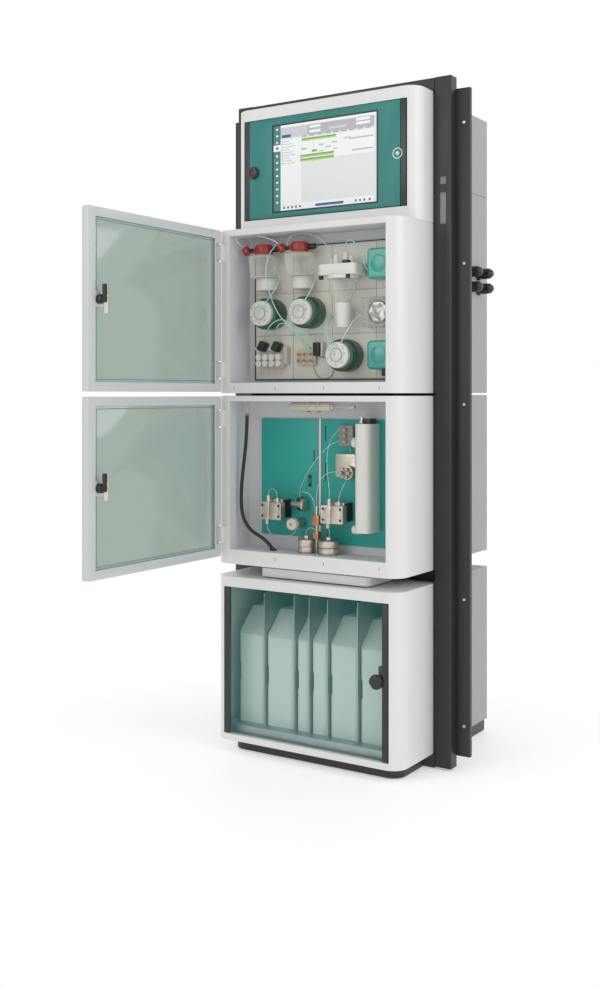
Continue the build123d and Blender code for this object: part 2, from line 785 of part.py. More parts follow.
# Titration vessels: glass beakers with red caps, each in a white holder on the board
vessel_places = [-164, -42]
vessel_level = upper_bottom + 330
vessel_height = 66
vessel_radius = 45
vessel_base_radius = 39
glass_wall = 2.5
vessel_y = at(53)
neck_bore = 17
vessel_neck_radius = 20
cap_radius = 25.5
cap_height = 29
holder_radius = 31.5
holder_height = 34
port_tilt = 35
port_length = 18
holder_y = board_y - holder_radius
vessels = []
vessel_caps = []
holders = []
for x in vessel_places:
    z = vessel_level
    top = z + vessel_height
    outer = [
        (0, z), (vessel_base_radius - 4, z), (vessel_base_radius, z + 4),
        (vessel_radius, top - 8), (vessel_radius, top - 3), (vessel_radius - 4, top),
        (vessel_neck_radius, top + 4), (vessel_neck_radius, top + 12),
    ]
    inner = [
        (neck_bore, top + 12), (neck_bore, top + 1), (vessel_radius - 6, top - 4),
        (vessel_radius - glass_wall, top - 8), (vessel_base_radius - glass_wall, z + 5),
        (0, z + glass_wall),
    ]
    vessels.append(turned_z(x, vessel_y, outer + inner))
    cap_low = top + 5
    cap = turned_z(x, vessel_y, [
        (0, top + 12), (vessel_neck_radius + 0.2, top + 12), (vessel_neck_radius + 0.2, cap_low),
        (cap_radius - 1, cap_low), (cap_radius, cap_low + 3), (cap_radius, cap_low + 22),
        (cap_radius - 3, cap_low + cap_height - 3), (0, cap_low + cap_height - 3),
    ])
    port_x = x - 56
    port_z = cap_low + 12
    cap += rod_x(port_x, x, vessel_y - 6, port_z, 4)
    cap += Pos(port_x, vessel_y - 6, port_z) * (Rot(0, -port_tilt, 0) * Cylinder(11.5, port_length))
    vessel_caps.append(cap)
    holder = turned_z(x, holder_y, [
        (0, z - holder_height), (holder_radius - 2, z - holder_height), (holder_radius, z - 30),
        (holder_radius, z), (holder_radius - 4, z), (holder_radius - 4, z - 6), (0, z - 6),
    ])
    holder += box(x - 14, x + 14, holder_y + 20, board_y, z - 28, z - 8)
    holders.append(holder)
save("vessel_glass", *vessels)
save("vessel_caps", *vessel_caps)

# Dosing units: green drives on the board with white heads
dosing_places = [(-159, upper_bottom + 229), (-28, upper_bottom + 229), (93, upper_bottom + 105)]
drive_radius = 44.5
head_radius = 36
head_front = 25
head_thickness = 14
drive_front_y = at(head_front + head_thickness)
dosing_heads = []
dosing_drives = []
for x, z in dosing_places:
    drive = turned_y(x, z, [
        (0, drive_front_y), (head_radius + 2, drive_front_y), (drive_radius - 1.5, drive_front_y + 4),
        (drive_radius - 1.5, drive_front_y + 18), (drive_radius - 3.5, drive_front_y + 20),
        (drive_radius - 3.5, drive_front_y + 24), (drive_radius, drive_front_y + 27),
        (drive_radius, board_y), (0, board_y),
    ])
    dosing_drives.append(drive)
    face_y = drive_front_y - head_thickness
    head = turned_y(x, z, [
        (0, face_y - 3), (8, face_y - 3), (8, face_y), (14, face_y), (14, face_y + 1.5),
        (17, face_y + 1.5), (17, face_y), (head_radius - 2, face_y), (head_radius, face_y + 2),
        (head_radius, drive_front_y), (0, drive_front_y),
    ])
    for step in range(4):
        angle = math.radians(45 + 90 * step)
        head -= rod_y(x + 27 * math.cos(angle), face_y - 1, face_y + 3, z + 27 * math.sin(angle), 2)
    dosing_heads.append(head)
save("dosing_heads", *dosing_heads)
save("dosing_drives", *dosing_drives)

# Titration cell: white lid on a bracket, glass funnel and a beige cup under it
cell_x = 99
cell_y = at(52)
lid_left, lid_right = 40, 158
lid_low = upper_bottom + 325
lid_high = lid_low + 30
lid = rounded_box(lid_left, lid_right, at(12), at(92), lid_low, lid_high, 12, Axis.Z)
lid += box(cell_x - 30, cell_x + 30, at(90), board_y, lid_low + 5, lid_high - 5)
for dx, dy, radius, height in ((-36, 0, 9, 18), (-14, -14, 8, 26), (8, 4, 10, 34), (30, -8, 9, 22)):
    x = cell_x + dx
    y = cell_y + dy
    lid += rod_z(x, y, lid_high, lid_high + height - 8, radius)
    lid += rod_z(x, y, lid_high + height - 8, lid_high + height, radius - 3)
save("cell_lid", lid)
funnel_top_radius = 42
funnel_throat_radius = 15.5
funnel_low = lid_low - 84
funnel = turned_z(cell_x, cell_y, [
    (funnel_top_radius + 2, lid_low), (funnel_top_radius + 2, lid_low - 6),
    (funnel_top_radius - 1, lid_low - 7), (funnel_top_radius - 5, lid_low - 34),
    (funnel_throat_radius + 2, lid_low - 78), (funnel_throat_radius, funnel_low), (0, funnel_low),
    (0, funnel_low + glass_wall), (funnel_throat_radius - glass_wall, funnel_low + glass_wall),
    (funnel_throat_radius - 1, lid_low - 78), (funnel_top_radius - 8, lid_low - 34),
    (funnel_top_radius - 4, lid_low - 5), (funnel_top_radius - 4, lid_low),
])
save("cell_glass", funnel)
cup_high = funnel_low + 8
cup_low = funnel_low - 60
cup_y = cell_y
cup = turned_z(cell_x, cup_y, [
    (0, cup_low), (18, cup_low), (25, cup_high), (funnel_throat_radius + 4.5, cup_high),
    (funnel_throat_radius + 1, funnel_low), (0, funnel_low),
])
cup += box(cell_x - 12, cell_x + 12, cup_y + 15, board_y, funnel_low - 34, funnel_low - 10)
holders.append(cup)
save("vessel_holders", *holders)

# Peristaltic pump boxes under teal covers
pump_boxes = []
for z0, z1 in ((upper_bottom + 311, upper_bottom + 396), (upper_bottom + 65, upper_bottom + 144)):
    cover = box(172, 246, at(52), board_y, z0, z1)
    cover = fillet(cover.edges().filter_by(Axis.Y), 12)
    cover = fillet(cover.faces().sort_by(Axis.Y)[0].edges(), 8)
    pump_boxes.append(cover)
save("pump_boxes", *pump_boxes)

# Roller pump: clear cassette round a rotor with six metal rollers
roller_x = 203
roller_z = upper_bottom + 221
roller_count = 6
roller_radius = 5
roller_orbit = 24
rotor_plate_radius = 28
cassette_bore = 31
cassette_front = 60
cassette_back = 90
shaft_radius = 5
cassette = rounded_box(152, 246, at(cassette_front), board_y, roller_z - 41, roller_z + 42, 9, Axis.Y)
cassette -= rod_y(roller_x, at(cassette_front - 1), at(cassette_back), roller_z, cassette_bore)
cassette -= rod_y(roller_x, at(cassette_back) - 1, board_y - 2, roller_z, shaft_radius + pin_clearance)
save("roller_pump_body", cassette)
rotor = rod_y(roller_x, at(cassette_front - 2), board_y - 3, roller_z, shaft_radius)
rotor += rod_y(roller_x, at(cassette_front), at(cassette_front + 3), roller_z, rotor_plate_radius)
rotor += rod_y(roller_x, at(cassette_back - 4), at(cassette_back) - 0.5, roller_z, rotor_plate_radius)
rotor += rod_y(roller_x, at(cassette_front + 2), at(cassette_back - 3), roller_z, 10)
for step in range(roller_count):
    angle = 2 * math.pi * step / roller_count
    x = roller_x + roller_orbit * math.cos(angle)
    z = roller_z + roller_orbit * math.sin(angle)
    rotor += rod_y(x, at(cassette_front - 1), at(cassette_back - 3), z, roller_radius)
save("roller_pump_rotor", rotor)

# Valve blocks on the board
block_low = upper_bottom + 75
button_pitch = 23
button_radius = 9
valve_block = rounded_box(-211, -116, at(84), board_y, block_low, block_low + 40, 4, Axis.Y)
for column_index in range(4):
    x = -198 + column_index * button_pitch
    for z in (block_low + 11, block_low + 29.5):
        valve_block += rod_y(x, at(77), at(84), z, button_radius)
    valve_block += rod_z(x, at(90), block_low - 22, block_low, 2)
valve_block += rounded_box(-112, -103, at(80), board_y, block_low + 8, block_low + 58, 2, Axis.Y)
port_block = rounded_box(-74, -12, at(88), board_y, block_low + 6, block_low + 48, 4, Axis.Y)
for column_index in range(3):
    for row in range(2):
        x = -63 + column_index * 20
        z = block_low + 18 + row * 18
        port_block += rod_y(x, at(81), at(88), z, 6.5)
save("valve_blocks", valve_block, port_block)

# Solenoid valves over the blocks
solenoids = []
for x, z, tilt in ((-190, block_low + 62, 30), (-141, block_low + 60, 30), (-2, block_low + 50, 0)):
    length = 27 if tilt else 38
    coil = box(-10, 10, at(74), board_y, -length / 2, length / 2)
    coil = fillet(coil.edges().filter_by(Axis.Y), 3)
    coil = coil.rotate(Axis.Y, tilt)
    solenoids.append(Pos(x, 0, z) * coil)
save("solenoid_valves", *solenoids)

# High-pressure pump heads with their fittings, the purge valve body and the mixing tees
pump_level = lower_bottom + 131
pump_width = 71
head_height = 50
pump_heads = []
for x0 in (-166, 36):
    x1 = x0 + pump_width
    front_block = rounded_box(x0, x1, at(35), at(59), pump_level, pump_level + head_height, 3, Axis.Y)
    front_block -= box(x0 + 33, x0 + 35, at(34), at(38), pump_level - 1, pump_level + head_height + 1)
    for dx in (8, pump_width - 8):
        for dz in (10, head_height - 10):
            front_block -= rod_y(x0 + dx, at(34), at(38), pump_level + dz, 4)
    rear_block = box(x0 + 6, x1 - 9, at(59), board_y, pump_level + 2, pump_level + 57)
    pump_head = front_block + rear_block
    pump_head += rod_z(x0 + 18, at(47), pump_level - 14, pump_level, 6)
    pump_head += rod_z(x0 + 22, at(47), pump_level + head_height, pump_level + head_height + 18, 6)
    pump_head += rod_z(x0 + 52, at(47), pump_level + head_height, pump_level + head_height + 12, 5)
    pump_heads.append(pump_head)
purge_x = -62
purge_z = lower_bottom + 121
purge_stem = 5
purge_body = rod_y(purge_x, at(60), board_y, purge_z, 14)
purge_body -= rod_y(purge_x, at(59), at(74), purge_z, purge_stem + pin_clearance)
pump_heads.append(purge_body)
tee_x = 16
tee_y = at(50)
floor_z = lower_opening[2]
tee = rod_z(tee_x, tee_y, floor_z, lower_bottom + 124, 3)
tee += box(tee_x - 11, tee_x + 11, tee_y - 8, tee_y + 8, lower_bottom + 124, lower_bottom + 150)
tee += box(tee_x - 8, tee_x + 8, tee_y - 7, tee_y + 7, lower_bottom + 86, lower_bottom + 104)
tee += rod_z(tee_x, tee_y, lower_bottom + 150, lower_bottom + 176, 4)
pump_heads.append(tee)
save("pump_heads", *pump_heads)

# Purge knob: knurled disc on a stem that turns in the valve body
knob_radius = 16.5
purge_knob = turned_y(purge_x, purge_z, [
    (0, at(38)), (knob_radius - 2, at(38)), (knob_radius, at(40)), (knob_radius, at(56)),
    (knob_radius - 2, at(58)), (purge_stem, at(58)), (purge_stem, at(73)), (0, at(73)),
])
for step in range(12):
    angle = math.radians(30 * step)
    x = purge_x + (knob_radius + 1) * math.cos(angle)
    z = purge_z + (knob_radius + 1) * math.sin(angle)
    purge_knob -= rod_y(x, at(37), at(59), z, 2)
save("purge_knob", purge_knob)

# Pulsation dampers: turned steel cans on the compartment floor
dampers = []
for x, radius in ((-18, 24), (54, 27.5)):
    profile = [
        (0, floor_z), (radius, floor_z), (radius, floor_z + 16), (radius - 1.5, floor_z + 17),
        (radius - 1.5, floor_z + 20), (radius, floor_z + 21), (radius, floor_z + 38),
        (radius - 3, floor_z + 41), (8, floor_z + 42), (8, floor_z + 50), (0, floor_z + 50),
    ]
    dampers.append(turned_z(x, at(50), profile))
save("pulsation_dampers", *dampers)

# Pressure sensor beside the left pump: metal body with a black disc
sensor_z = pump_level + 43
sensor_radius = 19
sensor_y = board_y - sensor_radius - 1
sensor = rod_x(-86, -48, sensor_y, sensor_z, 9)
sensor += rod_x(-48, -40, sensor_y, sensor_z, sensor_radius)
sensor += box(-76, -56, sensor_y, board_y, sensor_z - 9, sensor_z + 9)
save("pressure_sensor", sensor)

# Guard cartridge in two clips under the compartment's ceiling
ceiling_z = lower_opening[3]
cartridge_radius = 13
cartridge_z = ceiling_z - cartridge_radius - 2
cartridge_y = at(60)
cartridge = rod_x(-72, 57, cartridge_y, cartridge_z, cartridge_radius)
cartridge += rod_x(-80, 64, cartridge_y, cartridge_z, 8)
cartridge += rod_x(64, 112, cartridge_y, cartridge_z, 1.5)
cartridge += rod_x(112, 132, cartridge_y, cartridge_z, 5.5)
clip_solids = []
for x in (-16, 18):
    clip = rod_x(x - 4, x + 4, cartridge_y, cartridge_z, cartridge_radius + 2)
    clip += box(x - 4, x + 4, cartridge_y - 9, cartridge_y + 9, cartridge_z, ceiling_z)
    clip -= rod_x(x - 5, x + 5, cartridge_y, cartridge_z, cartridge_radius)
    clip -= box(x - 5, x + 5, cartridge_y - 7, cartridge_y + 7, cartridge_z - 20, cartridge_z)
    clip_solids.append(clip)
save("guard_cartridge", cartridge, *clip_solids)

# Column holder: tall white housing for the separation column
column_low = lower_bottom + 110
column_high = column_low + 298
holder_body = box(140, 188, at(36), board_y, column_low, column_high)
holder_body = fillet(holder_body.edges().filter_by(Axis.Z).group_by(Axis.Y)[0], 16)
for z, radius in ((column_high - 52, 14), (column_low + 6, 12)):
    holder_body += rod_x(126, 141, at(64), z, radius)
save("column_holder", holder_body)

# Injection valve with six ports, and the detector cell above it
valve_x = 104
valve_z = lower_bottom + 271
injection = rounded_box(54, 117, at(88), board_y, valve_z - 14, valve_z + 51, 6, Axis.Y)
injection += rod_y(valve_x, at(64), at(88), valve_z, 19)
for step in range(6):
    angle = math.radians(60 * step)
    port = extrude(RegularPolygon(4.5, 6), 12)
    port = Pos(valve_x + 12 * math.cos(angle), at(66), valve_z + 12 * math.sin(angle)) * (Rot(90, 0, 0) * port)
    injection += port
detector_low = lower_bottom + 346
detector = box(76, 118, at(72), board_y, detector_low, detector_low + 56)
for z in (lower_bottom + 358, lower_bottom + 374, lower_bottom + 390):
    detector += rod_x(66, 77, at(84), z, 4.5)
    detector += rod_y(97, at(62), at(73), z, 5)
save("injection_valve", injection, detector)

# Tubes: straight runs joined by arcs as large as the runs allow. A route's points are given as
# X, depth behind the front plane and height above the cabinet's underside.
tube_radius = 1.5
capillary_radius = 0.8
hose_radius = 5
sleeve_radius = 4


def tube(route, level, radius, label):
    """Round tube along a route of points, with its bends rounded."""
    points = [Vector(x, at(depth), level + rise) for x, depth, rise in route]
    radii = []
    for before, corner, after in zip(points, points[1:], points[2:]):
        run_in = corner - before
        run_out = after - corner
        half_turn = math.radians(run_in.get_angle(run_out)) / 2
        radii.append(0.45 * min(run_in.length, run_out.length) / math.tan(half_turn))
    path = FilletPolyline(*points, radius=radii)
    profile = Plane(origin=path @ 0, z_dir=path % 0) * Circle(radius)
    solid = sweep(profile, path=path)
    expected = math.pi * radius * radius * path.length
    print(label, "length", round(path.length, 1), "volume ratio", round(solid.volume / expected, 4),
          "radii", [round(r) for r in radii])
    return solid


# Tubes of the upper wet compartment
upper_tube_routes = {
    "vessel_left_feed": [
        (-240, 22, 452.6), (-240, 24, 442), (-236, 32, 433), (-231, 41, 427), (-225.9, 47, 421.4),
    ],
    "vessel_right_feed": [
        (-172, 30, 450.5), (-152, 30, 448.5), (-129, 32, 441), (-112, 40, 431), (-103.8, 47, 421.3),
    ],
    "ceiling_arch": [
        (-80, 47, 417.4), (-79, 45, 434), (-63, 43, 446), (-36, 44, 450), (-8, 47, 448), (19, 50, 437),
        (42, 52, 418), (59, 52, 396), (63, 52, 373.4),
    ],
    "crossing_line": [
        (-104, 26, 421), (-117, 18, 405), (-122, 8, 379), (-125, 4, 350), (-124, 4, 319),
        (-112, 5, 279), (-97, 7, 244), (-79, 8, 215), (-55, 9, 192), (-30, 22, 175), (-14, 44, 165),
        (-6, 66, 158), (-4, 82, 146.1),
    ],
    "left_head_line": [
        (-123.2, 53, 344), (-108, 47, 343), (-98, 36, 325), (-98, 22, 303), (-108, 11, 281),
        (-125, 7, 260), (-141, 8, 243), (-155, 11, 232), (-159, 21, 229),
    ],
    "right_head_line": [
        (-1.2, 53, 344), (13, 47, 343), (21, 36, 325), (22, 22, 301), (15, 11, 278), (1, 7, 256),
        (-13, 8, 240), (-25, 11, 231), (-28, 21, 229),
    ],
    "cell_line": [
        (107, 56, 389.4), (106, 52, 406), (115, 47, 422), (134, 45, 419), (150, 46, 399),
        (161, 49, 374), (164, 55, 351), (170.1, 66, 335),
    ],
    "left_valve_line": [
        (-182.4, 86, 150.2), (-177, 77, 162), (-160, 58, 172), (-140, 36, 182), (-116, 19, 196),
        (-92, 14, 207), (-70, 14, 208), (-54, 15, 195), (-43, 28, 173), (-35, 50, 154), (-29, 72, 140),
        (-25, 90, 124.6),
    ],
    "right_valve_line": [
        (-133.4, 86, 148.3), (-128, 76, 159), (-117, 56, 172), (-108, 34, 185), (-93, 22, 196),
        (-73, 20, 199), (-57, 24, 187), (-48, 41, 169), (-44, 62, 153), (-43, 80, 139),
        (-42, 91, 124.7),
    ],
    "head_loop_outer": [
        (34, 100.6, 221), (35, 85, 219), (39, 63, 209), (48, 40, 191), (60, 25, 167), (72, 14, 143),
        (82, 9, 122), (90, 11, 108), (93, 21, 105),
    ],
    "head_loop_inner": [
        (42, 100.6, 215), (43, 85, 213), (47, 64, 203), (56, 44, 185), (67, 30, 163), (79, 19, 146),
        (92, 14, 134), (99, 23.6, 128),
    ],
    "roller_line": [
        (151.6, 74, 215), (142, 71, 214), (131, 62, 205), (123, 51, 189), (117, 41, 169),
        (110, 34, 154), (105.4, 32, 140.3),
    ],
}
drain_loop = [
    (-2, 90, 105.6), (11, 92, 101.5), (29, 94, 100), (43, 95, 87), (47, 95, 67), (38, 95, 49),
    (20, 95, 40), (1, 94, 42), (-13, 93, 54), (-19, 93, 69), (-19.5, 93, 80.1),
]
upper_tubes = []
for label, route in upper_tube_routes.items():
    upper_tubes.append(tube(route, upper_bottom, tube_radius, label))
upper_tubes.append(tube(drain_loop, upper_bottom, capillary_radius, "drain_loop"))
save("upper_tubing", *upper_tubes)

# Capillaries of the lower wet compartment
capillary_routes = {
    "valve_feed": [
        (16, 50, 176.4), (15.5, 48, 195), (18, 46, 217), (23, 47, 239), (34, 51, 259), (51, 58, 271),
        (69, 66, 273.5), (84.4, 70, 272),
    ],
    "mixing_arch": [
        (-72, 79, 183.4), (-70, 72, 196), (-60, 58, 207), (-42, 46, 214), (-20, 42, 216),
        (-1, 44, 208), (7.5, 47, 190), (9.5, 50, 170), (8.5, 50, 150.5),
    ],
    "detector_feed": [
        (-54, 79, 183.4), (-54, 72, 199), (-49, 66, 219), (-38, 64, 241), (-24, 64, 265),
        (-9, 66, 289), (8, 69, 311), (25, 74, 331), (44, 80, 348), (65.3, 84, 358),
    ],
    "detector_return": [
        (58, 47, 199.4), (57, 50, 217), (50, 57, 241), (42, 64, 266), (37, 70, 293), (35, 75, 321),
        (38, 79, 349), (48, 83, 371), (65.2, 84, 388),
    ],
    "column_inlet": [
        (132.3, 60, 454), (143, 60, 453.5), (153, 59.5, 448), (160, 59, 437), (163, 58.5, 423),
        (163.5, 58.5, 408.4),
    ],
    "left_pump_drain": [
        (-148, 47, 116.6), (-147, 48, 102), (-138, 50, 89), (-120, 53, 82), (-99, 57, 81),
        (-80, 62, 85), (-67, 66, 94), (-62.5, 68, 106.4),
    ],
    "left_pump_link": [
        (-144, 47, 199.4), (-143.5, 46.5, 210), (-136, 46, 218), (-124, 46, 218), (-115.5, 46.5, 208),
        (-114, 47, 193.4),
    ],
    "damper_outlet": [
        (-18, 50, 92.4), (-17.5, 48, 103), (-11, 47, 112), (0, 47, 115), (8, 48.5, 112),
        (10.2, 50, 104.4),
    ],
    "right_pump_drain": [
        (54, 50, 92.4), (58, 50, 100), (58, 48, 109), (54, 47, 116.6),
    ],
    "valve_inlet": [
        (88, 47, 193.4), (88.5, 49, 208), (92, 54, 222), (97, 60, 237), (102, 66, 251),
    ],
}
capillaries = []
for label, route in capillary_routes.items():
    capillaries.append(tube(route, lower_bottom, capillary_radius, label))
link_x = 98
link_low = valve_z + 51 + seat_gap
link_high = detector_low - seat_gap
capillaries.append(rod_z(link_x, at(94), link_low, link_high, capillary_radius))
save("capillaries", *capillaries)

# Waste hose on the left: black rubber, pushed on a clear sleeve from the ceiling
hose_route = [
    (-210, 35, 433), (-211, 35, 391), (-214, 35, 349), (-219, 35, 307), (-225, 35, 265),
    (-229.5, 35, 223), (-231, 35, 181), (-228, 35, 145), (-216, 36, 115), (-194, 38, 93),
    (-169, 40, 81), (-145, 42, 67), (-126, 44, 45.6),
]
hose = tube(hose_route, lower_bottom, hose_radius, "hose")
hose_x, hose_depth, hose_top = hose_route[0]
sleeve = rod_z(hose_x, at(hose_depth), lower_bottom + hose_top, ceiling_z - seat_gap, sleeve_radius)
save("waste_hose", hose, sleeve)
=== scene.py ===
# %% [markdown]
# # Dressing an ion chromatography analyzer
# The machine is a dark steel frame with four cabinets: a display cabinet on top, two wet
# cabinets with their glass doors standing open, and a reagent cabinet below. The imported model
# gives every piece at its real place. This lesson gives the pieces their surfaces, soft edges
# and small parts, and lights them like a product portrait.

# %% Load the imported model
import json
import math

import bmesh
import bpy
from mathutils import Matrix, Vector


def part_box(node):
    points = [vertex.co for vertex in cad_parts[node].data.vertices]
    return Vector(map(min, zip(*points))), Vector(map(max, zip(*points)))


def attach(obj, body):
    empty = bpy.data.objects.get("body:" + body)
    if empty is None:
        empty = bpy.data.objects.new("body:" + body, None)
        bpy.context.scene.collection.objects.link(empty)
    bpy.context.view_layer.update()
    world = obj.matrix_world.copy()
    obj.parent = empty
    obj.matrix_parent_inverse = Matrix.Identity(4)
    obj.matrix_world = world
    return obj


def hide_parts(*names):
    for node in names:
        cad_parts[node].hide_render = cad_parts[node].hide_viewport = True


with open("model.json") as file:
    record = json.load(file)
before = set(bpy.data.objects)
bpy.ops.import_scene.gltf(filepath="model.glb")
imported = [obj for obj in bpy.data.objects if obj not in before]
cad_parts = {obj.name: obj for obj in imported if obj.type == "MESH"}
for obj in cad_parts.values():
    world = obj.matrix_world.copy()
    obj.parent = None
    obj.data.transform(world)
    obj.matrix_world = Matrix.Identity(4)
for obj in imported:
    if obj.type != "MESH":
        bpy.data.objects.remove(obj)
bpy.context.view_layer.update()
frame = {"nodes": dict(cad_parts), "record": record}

record = frame["record"]
body_of_node = {n: body for body, nodes in record["behaviour"]["bodies"].items() for n in nodes}
slot_of_node = {part["node"]: part["material_slot"] for part in record["subparts"]}
front_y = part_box("reagent_housing")[0].y
reagent_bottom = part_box("reagent_housing")[0].z
lower_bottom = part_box("lower_wet_housing")[0].z
upper_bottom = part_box("upper_wet_housing")[0].z
display_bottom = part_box("display_housing")[0].z
levels = (reagent_bottom, lower_bottom, upper_bottom, display_bottom)
print("front plane at", round(front_y, 4), "undersides at", [round(z, 3) for z in levels])

# %% [markdown]
# ## Camera
# The portrait looks at the machine from its right front, from just above half its height.
# Upright edges stay upright in it, so the camera is level and its lens is shifted, as a
# photographer shifts a view camera. The numbers come from the cabinet's corners.

# %% Place the camera
camera_data = bpy.data.cameras.new("portrait_camera")
camera_data.sensor_width = 36
camera_data.lens = 43.10
camera_data.shift_x = 0.0400
camera_data.shift_y = -0.1009
camera = bpy.data.objects.new("portrait_camera", camera_data)
camera.location = (1.719, -2.821, 1.038)
camera.rotation_euler = (math.radians(90), 0, math.radians(33.64))
bpy.context.scene.collection.objects.link(camera)
bpy.context.scene.camera = camera
bpy.context.scene.view_settings.view_transform = "Standard"

# %% [markdown]
# ## Small helpers for materials
# A material here is a Principled shader fed by node groups. The helpers below only save
# typing: one adds a node with its settings, one makes a group with named sockets, and one
# starts a material.


# %% Helpers for shader nodes
def add(tree, kind, **settings):
    """Add a node, set its properties and the inputs whose names match."""
    node = tree.nodes.new(kind)
    for name, value in settings.items():
        if hasattr(node, name):
            setattr(node, name, value)
        else:
            node.inputs[name.replace("_", " ")].default_value = value
    return node


def wire(tree, *links):
    """Join sockets. Each link names a source node, its output, a target node and its input."""
    for source, output, target, entry in links:
        tree.links.new(source.outputs[output], target.inputs[entry])


def new_group(name, kind, inputs, outputs):
    """Make a node group with named sockets and return it with its two end nodes."""
    group = bpy.data.node_groups.new(name, kind)
    for title, socket_type, default in inputs:
        socket = group.interface.new_socket(title, in_out="INPUT", socket_type=socket_type)
        if default is not None:
            socket.default_value = default
    for title, socket_type in outputs:
        group.interface.new_socket(title, in_out="OUTPUT", socket_type=socket_type)
    return group, group.nodes.new("NodeGroupInput"), group.nodes.new("NodeGroupOutput")


def new_material(name):
    """Start a material with a Principled shader."""
    material = bpy.data.materials.new(name)
    material.use_nodes = True
    tree = material.node_tree
    tree.nodes.clear()
    shader = tree.nodes.new("ShaderNodeBsdfPrincipled")
    end = tree.nodes.new("ShaderNodeOutputMaterial")
    wire(tree, (shader, 0, end, 0))
    return material, tree, shader


def place_group(tree, group, values, shader, outputs):
    """Put a group into a material with its own values and wire its outputs to the shader."""
    node = tree.nodes.new("ShaderNodeGroup")
    node.node_tree = group
    for name, value in values.items():
        node.inputs[name].default_value = value
    for title, target in outputs.items():
        wire(tree, (node, title, shader, target))


colour, number = "NodeSocketColor", "NodeSocketFloat"

# %% [markdown]
# ## Surface grain, shared by paint and plastic
# Powder coat has a fine orange-peel grain, and moulded plastic a finer one. Both also vary a
# little in tone over a hand's breadth. One group makes all of this from two noises on object
# coordinates, which stay in place in every view, and each material sets its own sizes.

# %% Group: coat grain
coat_grain, coat_in, coat_out = new_group(
    "coat_grain", "ShaderNodeTree",
    [
        ("Colour", colour, (0.8, 0.8, 0.8, 1)), ("Shade", colour, (0.7, 0.7, 0.7, 1)),
        ("Patch Scale", number, 6.0), ("Grain Scale", number, 900.0),
        ("Grain Height", number, 0.00004), ("Roughness", number, 0.4), ("Spread", number, 0.1),
    ],
    [("Colour", colour), ("Roughness", number), ("Normal", "NodeSocketVector")],
)
where = add(coat_grain, "ShaderNodeTexCoord")
patch = add(coat_grain, "ShaderNodeTexNoise", Detail=3.0, Roughness=0.55)
grain = add(coat_grain, "ShaderNodeTexNoise", Detail=2.0, Roughness=0.5)
tone = add(coat_grain, "ShaderNodeMix", data_type="RGBA")
gloss = add(coat_grain, "ShaderNodeMath", operation="MULTIPLY_ADD")
centred = add(coat_grain, "ShaderNodeMath", operation="SUBTRACT")
bump = add(coat_grain, "ShaderNodeBump")
for noise, scale in ((patch, "Patch Scale"), (grain, "Grain Scale")):
    wire(coat_grain, (where, "Object", noise, "Vector"), (coat_in, scale, noise, "Scale"))
wire(coat_grain, (patch, "Fac", tone, "Factor"), (coat_in, "Colour", tone, 6),
     (coat_in, "Shade", tone, 7), (patch, "Fac", centred, 0))
centred.inputs[1].default_value = 0.5
wire(coat_grain, (centred, 0, gloss, 0), (coat_in, "Spread", gloss, 1),
     (coat_in, "Roughness", gloss, 2), (grain, "Fac", bump, "Height"),
     (coat_in, "Grain Height", bump, "Distance"),
     (tone, 2, coat_out, "Colour"), (gloss, 0, coat_out, "Roughness"),
     (bump, "Normal", coat_out, "Normal"))

# %% [markdown]
# ## Drawn and turned metal
# Milled and drawn steel has long fine streaks. The group stretches a noise along one axis and
# uses it for tone, gloss and a faint relief, so that the highlights break up as on real metal.

# %% Group: metal streaks
metal_streaks, metal_in, metal_out = new_group(
    "metal_streaks", "ShaderNodeTree",
    [
        ("Colour", colour, (0.6, 0.6, 0.6, 1)), ("Shade", colour, (0.45, 0.45, 0.45, 1)),
        ("Stretch", "NodeSocketVector", (400.0, 400.0, 8.0)),
        ("Streak Height", number, 0.00003), ("Roughness", number, 0.3), ("Spread", number, 0.2),
    ],
    [("Colour", colour), ("Roughness", number), ("Normal", "NodeSocketVector")],
)
where = add(metal_streaks, "ShaderNodeTexCoord")
stretch = add(metal_streaks, "ShaderNodeVectorMath", operation="MULTIPLY")
streak = add(metal_streaks, "ShaderNodeTexNoise", Scale=1.0, Detail=4.0, Roughness=0.6)
tone = add(metal_streaks, "ShaderNodeMix", data_type="RGBA")
gloss = add(metal_streaks, "ShaderNodeMath", operation="MULTIPLY_ADD")
bump = add(metal_streaks, "ShaderNodeBump")
wire(metal_streaks, (where, "Object", stretch, 0), (metal_in, "Stretch", stretch, 1),
     (stretch, 0, streak, "Vector"), (streak, "Fac", tone, "Factor"), (metal_in, "Colour", tone, 6),
     (metal_in, "Shade", tone, 7), (streak, "Fac", gloss, 0), (metal_in, "Spread", gloss, 1),
     (metal_in, "Roughness", gloss, 2), (streak, "Fac", bump, "Height"),
     (metal_in, "Streak Height", bump, "Distance"), (tone, 2, metal_out, "Colour"),
     (gloss, 0, metal_out, "Roughness"), (bump, "Normal", metal_out, "Normal"))

# %% [markdown]
# ## Finishes
# Each finish is one short function call: a coated sheet, a moulded plastic, a metal or a
# glass. Colours are linear values. Panes and glassware use Alpha, because it lets the lamps
# light what stands behind them, and only the thin tubes use Transmission Weight.


# %% Finish functions
def coated(name, base, shade, roughness, grain_scale=900.0, height=0.00004, patch_scale=5.0, coat=0.0,
           spread=0.1):
    """Painted sheet or moulded plastic."""
    material, tree, shader = new_material(name)
    values = {
        "Colour": (*base, 1), "Shade": (*shade, 1), "Patch Scale": patch_scale,
        "Grain Scale": grain_scale, "Grain Height": height, "Roughness": roughness, "Spread": spread,
    }
    place_group(tree, coat_grain, values, shader,
                {"Colour": "Base Color", "Roughness": "Roughness", "Normal": "Normal"})
    shader.inputs["Coat Weight"].default_value = coat
    shader.inputs["Coat Roughness"].default_value = 0.12
    return material


